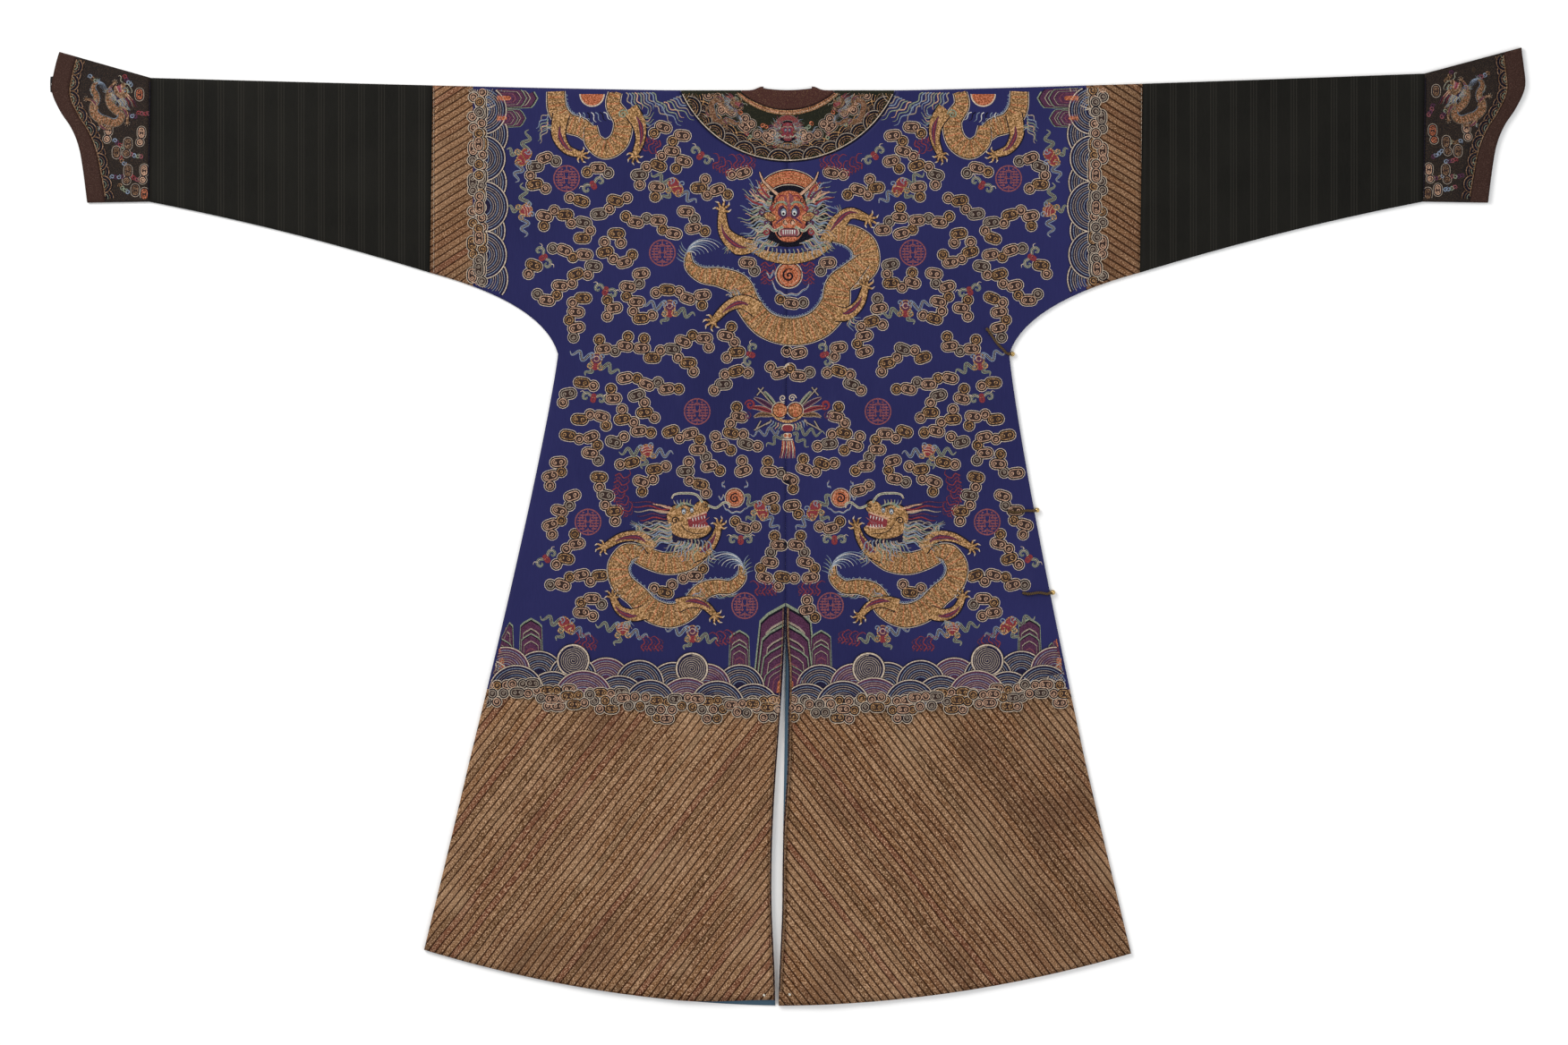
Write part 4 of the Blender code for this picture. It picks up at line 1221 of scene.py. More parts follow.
def trunk(needle, places, widths, layer=4, fill="gold", fringe=1):
    """A scaled body: a dark edge, gold ground, rows of scales and small pale loops on one side."""
    path = flow(places, 12)
    span = np.interp(np.linspace(0, 1, len(path)), np.linspace(0, 1, len(widths)), widths)
    needle.line(path, span + 4.6, "cream", layer - 2)
    needle.line(path, span + 2.6, "night", layer - 1)
    needle.line(path, span, fill, layer)
    lengths = np.concatenate([[0], np.cumsum(np.hypot(*np.diff(path, axis=0).T))])
    rows = np.arange(3.0, lengths[-1] - 1.0, 4.2)
    along = np.gradient(path, axis=0)
    along /= np.hypot(*along.T)[:, None]
    for number, place in enumerate(rows):
        middle = np.array([np.interp(place, lengths, path[:, axis]) for axis in (0, 1)])
        ahead = np.array([np.interp(place, lengths, along[:, axis]) for axis in (0, 1)])
        half = np.interp(place, lengths, span) / 2 - 1.4
        if half < 2.5:
            continue
        count = max(int(half * 2 / 5.0), 1)
        part = np.linspace(-1, 1, 5 * count + 1)
        dip = 2.0 * np.abs(np.sin((part + 1) / 2 * math.pi * count + (number % 2) * math.pi / 2))
        beside = np.array((-ahead[1], ahead[0]))
        row = middle + beside * (part * half)[:, None] + ahead * dip[:, None]
        needle.line(row, 1.15, ("bronze", "orange", "bronze")[number % 3], layer + 1)
    beside = np.stack([-along[:, 1], along[:, 0]], 1)
    if fringe:
        for place in np.arange(6.0, lengths[-1] - 4.0, 6.4):
            middle = np.array([np.interp(place, lengths, path[:, axis]) for axis in (0, 1)])
            out = np.array([np.interp(place, lengths, beside[:, axis]) for axis in (0, 1)]) * fringe
            reach = np.interp(place, lengths, span) / 2 + 1.6
            tip = middle + out * (reach + 3.4)
            ahead = np.array((out[1], -out[0])) * 1.9
            foot = middle + out * (reach + 0.4)
            needle.line(flow([foot - ahead, tip, foot + ahead], 3), 0.9, "sky", layer - 1)


def claw(needle, x, y, turn, size=1.0, layer=7):
    """A spread foot: five toes with pale nails."""
    needle.patch(arc(x, y, 5.0 * size, 0, 360, 13)[:-1], "gold", layer)
    for number, spread in enumerate((-92, -46, -8, 30, 70)):
        angle = math.radians(turn + spread)
        reach = (10.5, 13.5, 14.5, 13.5, 10.5)[number] * size
        tip = np.array((x + reach * math.cos(angle), y + reach * math.sin(angle)))
        hook = angle + 0.9
        nail = tip + np.array((math.cos(hook), math.sin(hook))) * 5.0 * size
        needle.outlined(flow([(x, y), (x + 0.62 * (tip[0] - x), y + 0.62 * (tip[1] - y)), tip], 3),
                        np.array((3.6, 3.0, 2.6)) * size, "gold", "night", 0.8, layer)
        needle.line([tip, (tip + nail) / 2, nail], [2.4 * size, 1.8 * size, 0.5], "cream", layer + 2)


def limb(needle, places, widths, foot_turn, foot_size=1.0, layer=5, hair_turn=None):
    """A leg with a dark red muscle line, a tuft of hair at the elbow and a spread foot."""
    path = flow(places, 8)
    needle.line(path, np.array(widths) + 3.2, "night", layer - 1)
    needle.line(path, widths, "gold", layer)
    inner = path[len(path) // 5:-len(path) // 6]
    along = np.gradient(inner, axis=0)
    along /= np.hypot(*along.T)[:, None]
    beside = np.stack([-along[:, 1], along[:, 0]], 1)
    needle.line(inner + beside * 1.6, [1.6, 7.0, 5.4, 1.0], "plum", layer + 1)
    needle.line(inner + beside * 1.6, [0.4, 2.2, 1.6, 0.3], "red", layer + 2)
    if hair_turn is not None:
        x, y = places[1]
        mane(needle, ((x, y - 3, hair_turn - 24), (x, y + 5, hair_turn + 24)), 7, 24, layer - 2, 1.2, 1.5)
    claw(needle, *places[-1], foot_turn, foot_size, layer + 2)


def tail_plume(needle, x, y, layer=3, hand=1):
    """Pale hairs that sweep over from the tip of the tail, one curve inside another."""
    for number in range(8):
        reach = 7 + 3.2 * number
        sweep = arc(x + hand * (reach - 3), y + 3, reach, 90 + hand * 106, 90 - hand * (88 - 5 * number),
                    16, 0.86)
        needle.line(sweep, [1.0, 1.5, 0.6], ("white", "sky", "sky")[number % 3], layer)
    for number in range(5):
        start = (x - hand * 2, y - 8 + 4 * number)
        lock(needle, start, 90 + hand * (62 - 8 * number), 18, ("sky", "sage")[number % 2], 0.5, 1.5, 1.3,
             layer)


def eye(needle, x, y, size=1.0, layer=10):
    """A round eye under a dark lid."""
    needle.patch(arc(x, y, 5.0 * size, 0, 360, 17, 1.45)[:-1], "night", layer)
    needle.patch(arc(x, y, 4.1 * size, 0, 360, 17, 1.50)[:-1], "sky", layer + 1)
    needle.patch(arc(x, y - 1.8 * size, 3.2 * size, 0, 360, 15, 1.2)[:-1], "white", layer + 2)
    needle.line(arc(x, y + 3.0 * size, 3.0 * size, 10, 170, 8), 1.0 * size, "night", layer + 2)
    needle.patch(arc(x, y - 2.6 * size, 1.9 * size, 0, 360, 13)[:-1], "night", layer + 3)


def front_dragon(needle):
    """The great dragon of the back, its head seen from the front over its looped body."""
    trunk(needle, [(66, -26), (92, -30), (112, -46), (114, -72), (96, -90), (74, -98)],
          [22, 30, 36, 38, 34, 26], 5, "gold", -1)
    trunk(needle, [(112, -66), (92, -86), (74, -104), (68, -134), (44, -162), (6, -173), (-34, -163),
                   (-60, -134), (-74, -104), (-102, -92), (-130, -88), (-148, -74), (-150, -54)],
          [20, 30, 36, 40, 40, 38, 36, 34, 31, 26, 20, 13, 3], 8, "gold", -1)
    tail_plume(needle, -150, -62, 6)
    mane(needle, ((-96, -118, -16), (-72, -128, -4)), 7, 30, 5, 1.4, 1.6)
    limb(needle, [(-48, -44), (-74, -44), (-96, -24), (-100, 8)], [12, 28, 17, 9], 84, 1.0, 6, 200)
    limb(needle, [(52, -40), (72, -12), (92, 4), (118, -4)], [14, 24, 16, 9], -22, 1.0, 6, 70)
    limb(needle, [(-46, -140), (-70, -128), (-92, -136), (-112, -156)], [24, 20, 14, 9], 222, 1.0, 11, 130)
    limb(needle, [(70, -146), (88, -146), (106, -130), (114, -106)], [22, 18, 13, 9], 78, 1.0, 11, -60)
    dragon_head(needle)


def dragon_head(needle):
    """A dragon's head seen from the front: its raised back, mane, horns, face and beard."""
    needle.patch(arc(0, 0, 58, 0, 360, 41, 0.80)[:-1], "night", 2)
    hump = arc(0, 8, 50, 28, 152, 22)
    needle.line(hump, [14, 22, 24, 22, 14], "cream", 3)
    needle.line(hump, [12, 20, 22, 20, 12], "night", 4)
    needle.line(hump, [9, 17, 19, 17, 9], "orange", 5)
    for reach in (44, 48, 52, 56):
        needle.line(arc(0, 8, reach, 36, 144, 24), 0.9, "gold", 6)
    for hand in (-1, 1):
        mane(needle, ((hand * 22, 28, 90 - hand * 50), (hand * 28, -24, 90 - hand * 132)), 21, 46, 5, 1.8,
             2.1)
        mane(needle, ((hand * 24, 20, 90 - hand * 70), (hand * 28, -16, 90 - hand * 112)), 12, 32, 6, 1.6,
             1.8, ("sage", "dull", "sky"))
        mane(needle, ((hand * 14, -40, 90 - hand * 118), (hand * 30, -34, 90 - hand * 104)), 7, 40, 6, 1.8,
             1.7)
        for spread in range(4):
            lock(needle, (hand * (26 + 3 * spread), 24 - 3 * spread), 90 - hand * (36 + 10 * spread), 34,
                 ("red", "plum", "peach", "red")[spread], 0.6, 2.2, 3.2, 8)
        horn = flow([(hand * 12, 28), (hand * 24, 38), (hand * 38, 52), (hand * 44, 66)], 5)
        needle.outlined(horn, [5, 4, 3, 1.2], "peach", "night", 1.0, 8)
    beard = [(-62, -44), (-36, -58), (0, -64), (36, -58), (62, -44)]
    needle.line(flow(beard, 8), [6, 15, 18, 15, 6], "night", 5)
    needle.line(flow(beard, 8), [4, 13, 16, 13, 4], "gold", 6)
    for number in range(17):
        lock(needle, (-48 + 6 * number, -40 - 8 * math.sin(number / 16 * math.pi)), -90 + (number - 8) * 5,
             20, HAIR[number % 7], 1.0, 1.6, 1.7, 7)
    face = flow([(0, 38), (-15, 34), (-24, 20), (-26, 2), (-24, -14), (-18, -30), (-8, -38), (8, -38),
                 (18, -30), (24, -14), (26, 2), (24, 20), (15, 34), (0, 38)], 3)[:-1]
    needle.patch(face * 1.06, "night", 9)
    needle.patch(face, "orange", 10)
    needle.patch(flow([(0, 35), (-7, 28), (-4, 8), (0, -12), (4, 8), (7, 28), (0, 35)], 3)[:-1], "rose", 11)
    for hand in (-1, 1):
        needle.line(flow([(hand * 3, 17), (hand * 9, 21), (hand * 18, 19), (hand * 23, 12)], 4),
                    [3.6, 3.0, 1.0], "sage", 12)
        needle.line(coil(hand * 20, 22, 4.5, 1.2, 0, 0.2, hand), 1.2, "night", 12)
        needle.patch(arc(hand * 8.4, 6.4, 8.2, 0, 360, 19, 1.2)[:-1], "plum", 11)
        eye(needle, hand * 8.2, 6.0, 0.98, 12)
        cheek = flow([(hand * 20, 0), (hand * 30, 6), (hand * 38, 2), (hand * 30, -8), (hand * 20, -6)], 4)
        needle.patch(cheek, "gold", 11)
        needle.line(cheek, 1.1, "night", 12)
        needle.line(flow([(hand * 24, 0), (hand * 29, 2), (hand * 33, -1)], 3), 1.4, "red", 13)
        for reach, drop, colour in ((25, 12, "red"), (33, -10, "plum"), (24, -18, "red"), (41, 6, "plum"),
                                    (34, -24, "red")):
            needle.line(coil(hand * reach, drop, 5.6, 1.3, 90, 0.2, hand), [1.2, 3.2, 1.6], colour, 10)
        needle.line(flow([(hand * 5, 30), (hand * 13, 30), (hand * 19, 22)], 4), [1.0, 2.6, 1.0], "red", 12)
        needle.line(flow([(hand * 4, -2), (hand * 12, -5), (hand * 20, -12)], 4), [1.0, 2.8, 1.2], "plum", 12)
        whisker = flow([(hand * 9, -16), (hand * 22, -22), (hand * 32, -14), (hand * 42, -24),
                        (hand * 50, -20)], 5)
        needle.outlined(whisker, [3.0, 2.4, 0.8], "sage", "cream", 0.8, 12)
        needle.patch(arc(hand * 5.2, -9.5, 4.2, 0, 360, 13)[:-1], "peach", 13)
        needle.line(arc(hand * 5.2, -9.5, 3.0, 0, 250 * hand, 9), 1.1, "night", 14)
        needle.line(flow([(hand * 15, -19), (hand * 17, -27), (hand * 12, -32)], 4), 1.6, "night", 14)
    needle.patch(arc(0, -6, 5.0, 0, 360, 15)[:-1], "orange", 14)
    needle.patch(capsule(0, -24.5, 12.5, 6.6), "night", 12)
    needle.patch(capsule(0, -24.5, 11.5, 5.4), "rose", 13)
    for number in range(6):
        needle.line([(-8.5 + 3.4 * number, -20.8), (-8.5 + 3.4 * number, -27.6)], [2.2, 1.8, 1.0], "white",
                    14)
    for hand in (-1, 1):
        needle.line(flow([(hand * 13, -19), (hand * 15, -25), (hand * 12, -30)], 3), [2.0, 1.6, 0.6],
                    "cream", 15)


def profile_dragon(needle):
    """A striding dragon seen from the side, its head to the right."""
    tail_plume(needle, 98, -10, 10, -1)
    trunk(needle, [(40, 20), (16, 6), (-12, 1), (-40, 8), (-62, 18)], [22, 30, 30, 28, 22], 5, "gold", 0)
    trunk(needle, [(-56, 20), (-74, 16), (-86, -4), (-80, -28), (-58, -48), (-38, -68), (-8, -77),
                   (20, -66), (38, -42), (60, -34), (82, -34), (98, -20), (98, -2)],
          [16, 26, 29, 30, 31, 33, 33, 29, 24, 20, 17, 12, 3], 9, "gold", 1)
    mane(needle, ((46, -40, -34), (72, -38, -20)), 7, 24, 6, 1.2, 1.5)
    limb(needle, [(24, 12), (44, 20), (58, 38), (64, 56)], [20, 17, 12, 8], 74, 0.9, 7, -50)
    limb(needle, [(-34, 22), (-52, 40), (-80, 40), (-106, 26)], [18, 17, 13, 8], 205, 0.9, 12, 110)
    limb(needle, [(-46, -72), (-66, -76), (-84, -68), (-94, -50)], [20, 17, 12, 8], 98, 0.9, 12, 250)
    limb(needle, [(2, -62), (24, -56), (44, -62), (58, -76)], [20, 16, 12, 8], -48, 0.9, 12, 20)
    needle.patch(flow([(0, 74), (-40, 62), (-62, 44), (-40, 34), (-4, 28), (26, 22), (40, 36), (0, 74)],
                      4)[:-1], "indigo", 10)
    mane(needle, ((-4, 62, 182), (-2, 36, 196)), 14, 58, 11, 2.2, 1.8)
    mane(needle, ((6, 36, 206), (34, 32, 252)), 12, 32, 11, 1.5, 1.8)
    for number in range(7):
        lock(needle, (-4, 86 - 4 * number), 172 + 3 * number, 66 - 4 * number,
             ("plum", "red", "dull")[number % 3], 1.4, 2.0, 2.4, 9)
    for number in range(2):
        horn = flow([(2, 80 - 7 * number), (-16, 86 - 8 * number), (-34, 90 - 9 * number)], 5)
        needle.outlined(horn, [4.2, 3.4, 1.2], "peach", "night", 0.9, 9)
    head = flow([(-10, 58), (-13, 72), (-4, 86), (12, 88), (24, 84), (32, 92), (44, 94), (50, 84), (43, 75),
                 (28, 70), (24, 62), (32, 56), (45, 59), (53, 54), (46, 44), (28, 38), (8, 40), (-4, 46),
                 (-10, 58)], 3)[:-1]
    middle = np.array((16, 66))
    needle.patch((head - middle) * (1.06, 1.08) + middle, "night", 10)
    needle.patch(head, "gold", 11)
    needle.patch(flow([(18, 66), (30, 71), (46, 76), (44, 66), (48, 58), (32, 54), (20, 56), (18, 66)],
                      3)[:-1], "red", 12)
    needle.line(flow([(16, 68), (30, 72), (46, 78)], 4), [2.2, 2.6, 3.0], "peach", 13)
    needle.line(flow([(20, 55), (34, 54), (50, 57)], 4), [1.6, 2.2, 2.2], "peach", 13)
    for number in range(5):
        needle.line([(25 + 4.4 * number, 68.5 + number), (26 + 4.4 * number, 64 + number)], [2.0, 0.7],
                    "white", 14)
        needle.line([(26 + 4.2 * number, 55.5), (26.5 + 4.2 * number, 59.5)], [1.8, 0.7], "white", 14)
    needle.line(flow([(34, 60), (42, 64), (50, 70)], 3), [2.6, 2.2, 0.8], "rose", 13)
    needle.line(flow([(0, 84), (12, 91), (28, 86)], 4), [3.4, 4.0, 1.6], "sage", 13)
    for number in range(6):
        lock(needle, (2 + 4 * number, 88), 128 - 8 * number, 9, HAIR[number], 0.6, 0.8, 1.7, 13)
    eye(needle, 12, 79, 0.72, 13)
    eye(needle, 24, 81, 0.62, 13)
    needle.line(coil(-1, 65, 6.0, 1.4, 0, 0.15), 1.6, "night", 13)
    needle.line(coil(45, 88, 3.8, 1.2, 180, 0.2), 1.3, "night", 13)
    needle.line(flow([(8, 60), (14, 52), (26, 46), (40, 46)], 4), 1.1, "night", 13)
    for places in (((40, 92), (30, 104), (10, 106), (-2, 104), (-6, 98)),
                   ((48, 88), (60, 84), (72, 92), (80, 90), (80, 84))):
        needle.outlined(flow(places, 5), [2.0, 1.8, 0.6], "sage", "cream", 0.8, 12)
    for number in range(9):
        lock(needle, (10 + 4.5 * number, 40 - abs(number - 4)), -128 + 9 * number, 24, HAIR[number % 7],
             1.2, 1.8, 1.9, 12)


def shoulder_dragon(flip):
    """The lower part of a dragon that lies over the shoulder: its head is on the front."""
    needle = Needle(flip * -0.296, -0.062, flip=flip, margin=0.006)
    trunk(needle, [(-50, 60), (-48, 34), (-34, 14), (-12, 6), (4, -8)], [24, 26, 27, 26, 20], 5, "gold", 1)
    trunk(needle, [(40, 62), (36, 40), (50, 14), (44, -14), (24, -26), (6, -14), (2, 8)],
          [16, 20, 25, 27, 27, 24, 16], 8, "gold", 0)
    limb(needle, [(-42, 26), (-46, -4), (-34, -26), (-14, -34)], [24, 20, 13, 8], -20, 0.9, 9, 150)
    limb(needle, [(60, 34), (74, 12), (76, -12), (68, -34)], [24, 20, 13, 8], 262, 0.9, 11, 20)
    mane(needle, ((96, 40, -44), (132, 54, -26)), 9, 46, 5, 2.0, 1.8)
    mane(needle, ((54, 60, -70), (92, 60, -50)), 10, 34, 4, 1.6, 1.8)
    mane(needle, ((-60, 30, 220), (-62, 6, 240)), 6, 26, 3, 1.4, 1.6)
    needle.line(coil(50, 26, 7.5, 1.6, 0, 0.1), 2.0, "sage", 13)
    needle.patch(arc(4, 56, 19, 180, 360, 19), "cream", 2)
    needle.patch(arc(4, 56, 17, 180, 360, 19), "orange", 3)
    for number in range(9):
        lock(needle, (-16 + 6 * number, 30), -80 + 6 * number, 18, ("white", "sky", "night")[number % 3],
             1.0, 1.8, 1.4, 4)


# Waves, mountains and the curled fringe

WAVE_THREADS = ("dull", "sky", "dull")
SLEEVE_WAVE_X = 456


def wave_fan(needle, x, y, radius, layer, start=0.0, end=180.0, ground="indigo", rim="cream", count=7,
             threads=WAVE_THREADS, thread=1.0):
    """Arcs one inside another under a pale line, over a dark ground."""
    outline = np.concatenate([[(x, y)], arc(x, y, radius, start, end, 20)])
    rimmed = np.concatenate([[(x, y)], arc(x, y, radius + 1.6, start, end, 20)])
    needle.patch(rimmed, "night", layer)
    needle.patch(outline, ground, layer + 1)
    needle.line(arc(x, y, radius, start, end, 22), 1.6 * thread, rim, layer + 2)
    for ring in range(1, count + 1):
        reach = radius - 1.2 - 3.3 * ring
        if reach > 3:
            needle.line(arc(x, y, reach, start, end, 8 + int(reach / 3)), thread,
                        threads[ring % len(threads)], layer + 2)


def whirl(needle, x, y, radius, layer):
    """A round wave seen end on: one long spiral."""
    for reach, colour, step in ((radius + 3.2, "night", 0), (radius + 2.2, "cream", 1),
                                (radius - 0.2, "indigo", 2)):
        needle.patch(arc(x, y, reach, 0, 360, 31)[:-1], colour, layer + step)
    needle.line(coil(x, y, radius - 1.5, 6.4, 90, 0.04, 1, 120), 1.2, "dull", layer + 3)


FRINGE_FILLS = ("peach", "gold", "peach", "dull", "peach", "gold", "dull")


def fringe_cloud(needle, rng, x, y, layer, down=True, rows=3):
    """A knot of curls that hangs from the waves."""
    for row in range(rows):
        for place in range(rows - row + 1):
            along = (place - (rows - row) / 2) * 15.5 + rng.uniform(-1.5, 1.5)
            drop = 12.5 * row + rng.uniform(-1.5, 1.5)
            px, py = (x + along, y - drop) if down else (x + drop, y + along)
            half = 4.0 if (row + place) % 2 == 0 and rng.random() < 0.6 else 0.0
            unit = (px, py, half, 0 if down else 90, int(rng.choice((-1, 1))))
            fill = FRINGE_FILLS[rng.integers(len(FRINGE_FILLS))]
            cloud(needle, [unit], (fill,), layer + 3 * (row % 2), "cream", 6.4)


PEAK_RINGS = (("sage", 1.0), ("night", 0.95), ("plum", 0.91), ("dull", 0.74), ("night", 0.70),
              ("plum", 0.67), ("rose", 0.48), ("plum", 0.44), ("orange", 0.24))


def peak(needle, x, y, width, height, layer):
    """One mountain face: a pointed top with stepped shoulders, ringed inside in several colours."""
    for step, (colour, share) in enumerate(PEAK_RINGS):
        half = width / 2 * share
        top = height * (0.30 + 0.70 * share)
        shape = [(-half, 0), (-half * 0.86, top - width * 0.30 * share),
                 (-half * 0.60, top - width * 0.17 * share), (0, top),
                 (half * 0.60, top - width * 0.17 * share), (half * 0.86, top - width * 0.30 * share),
                 (half, 0)]
        needle.patch(np.array(shape) + (x, y), colour, layer + step)


def vent_edge(side):
    """The inner edge of one half of the back, below the neck."""
    return np.array([panel_line(side, "back", level, 0.0) for level in spaced(1.0, 3.0, 110)])


def vent_side(side, depth):
    """Where the inner edge of one half of the back lies at a depth."""
    edge = vent_edge(side)
    return np.interp(depth, -edge[:, 1], edge[:, 0])


def half_peak(side, base, width, height, layer):
    """Half of a mountain face, cut off along the seam and the vent."""
    needle = Needle(0.0, 0.0)
    for step, (colour, share) in enumerate(PEAK_RINGS):
        half = width / 2 * share
        top = height * (0.30 + 0.70 * share)
        rise = np.linspace(top, 0.0, 9)
        outside = [(half * 0.60, top - width * 0.17 * share), (half * 0.86, top - width * 0.30 * share),
                   (half, 0.0)]
        shape = [(0.0, level) for level in rise[::-1]] + outside
        placed = []
        for reach, level in shape:
            depth = (base - level) * MILLIMETRE
            placed.append(((vent_side(side, depth) + side * (reach + 0.5) * MILLIMETRE) / MILLIMETRE,
                           level - base))
        needle.patch(placed, colour, layer + step)


def mountain(needle, x, y, width, height, layer, tiers=3):
    """Peaks one in front of another, each lower than the last."""
    for tier in range(tiers):
        peak(needle, x, y, width * (1 - 0.10 * tier), height * (1 - 0.27 * tier), layer + 9 * tier)


def wave_line(x):
    """Depth of the lower edge of the waves."""
    return SKIRT_BAND_DEPTH - SKIRT_BAND_ARCH * x * x


def sew_waves():
    """Mountains, rows of scale waves and the curls under them, at the hem and the sleeves."""
    rng = np.random.default_rng(5)
    for flip in (-1, 1):
        centre = -0.011
        for tier in range(4):
            half_peak(flip, 900, 88 - 9 * tier, 134 - 30 * tier, 9 * tier)
        mountain(Needle(centre, 0.0, flip=flip), -61.0, -882, 34, 76, 0, 2)
        mountain(Needle(centre, 0.0, flip=flip), -416.0, -872, 44, 116, 0, 3)
        mountain(Needle(centre, 0.0, flip=flip), -372.0, -872, 38, 84, 0, 2)
        take(np.array([(centre, -0.80), (centre - flip * 0.06, -0.84), (centre - flip * 0.39, -0.80)]), 0.045)
        for number in range(9):
            reach = 60 + 50 * number
            depth = wave_line(reach * MILLIMETRE) / MILLIMETRE
            needle = Needle(centre, 0.0, flip=flip)
            wave_fan(needle, reach, -depth + 30, 36, 30 + 4 * (number % 2), 0, 180,
                     ("indigo", "plum", "indigo")[number % 3])
        for reach in (132, 309):
            depth = wave_line(reach * MILLIMETRE) / MILLIMETRE
            whirl(Needle(centre, 0.0, flip=flip), reach, -depth + 58, 22, 38)
        for number in range(10):
            reach = 40 + 50 * number + 4 * (number % 2)
            depth = wave_line(reach * MILLIMETRE) / MILLIMETRE
            needle = Needle(centre, 0.0, flip=flip)
            wave_fan(needle, reach, -depth, 38 + 3 * (number % 3), 44 + 4 * (number % 2), 0, 180,
                     ("indigo", "indigo", "plum")[number % 3], "cream", 8)
        for number in range(12):
            reach = 16 + 41 * number + rng.uniform(-4, 4)
            depth = wave_line(reach * MILLIMETRE) / MILLIMETRE + (0, 7, 3)[number % 3]
            fringe_cloud(Needle(centre, 0.0, flip=flip), rng, reach, -depth + 14, 53 + 6 * (number % 2), True,
                         (3, 2, 3, 2)[number % 4])
        for number in range(9):
            depth = -6 + 36 * number
            needle = Needle(0.0, 0.0, flip=flip)
            wave_fan(needle, SLEEVE_WAVE_X, -depth, 34 + 2 * (number % 3), 10 + 4 * (number % 2), 90, 270,
                     "indigo", "cream", 7)
        for number in range(13):
            depth = 2 + 23.5 * number
            fringe_cloud(Needle(0.0, 0.0, flip=flip), rng, SLEEVE_WAVE_X + 1 + 4 * (number % 2), -depth,
                         20 + 6 * (number % 2), False, (2, 1)[number % 2])
        for depth, width, rise in ((12, 34, 62), (42, 30, 44)):
            needle = Needle(flip * 0.428, -depth * MILLIMETRE, 90 * flip)
            mountain(needle, 0, -6, width, rise, 0, 2)
            take(np.array([(flip * 0.395, -depth * MILLIMETRE)]), 0.026)
        take(np.array([(flip * 0.42, -depth) for depth in np.arange(0.0, 0.3, 0.02)]), 0.030)


FRONT_DRAGON = (0.002, -0.188)
PROFILE_DRAGON = (0.167, -0.708)
MEDALLIONS = ((0.330, 0.132), (0.187, 0.243), (0.135, 0.480), (0.298, 0.645), (0.064, 0.770))
TREASURES = (
    (0.168, 0.145, 0, 20.0),
    (0.176, 0.326, 1, 0.0),
    (0.210, 0.540, 2, -12.0),
    (0.040, 0.628, 0, 30.0),
    (0.286, 0.405, 1, 10.0),
    (0.246, 0.806, 2, 0.0),
    (0.142, 0.812, 1, 0.0),
    (0.330, 0.800, 0, 8.0),
    (0.392, 0.180, 2, 74.0),
    (0.395, 0.100, 0, 90.0),
)
BATS = ((0.290, 0.142, -30.0), (0.130, 0.098, 40.0), (0.272, 0.300, 20.0), (0.070, 0.672, 0.0),
        (0.360, 0.700, -40.0), (0.365, 0.250, 60.0), (0.290, 0.460, 10.0), (0.055, 0.395, -70.0))
FLAMES = ((0.062, 0.118, 0.0), (0.098, 0.125, 30.0), (0.205, 0.070, 200.0), (0.252, 0.628, 60.0),
          (0.040, 0.276, 90.0), (0.088, 0.828, -10.0), (0.300, 0.835, 10.0), (0.200, 0.838, 0.0),
          (0.030, 0.755, 0.0), (0.260, 0.590, 100.0))


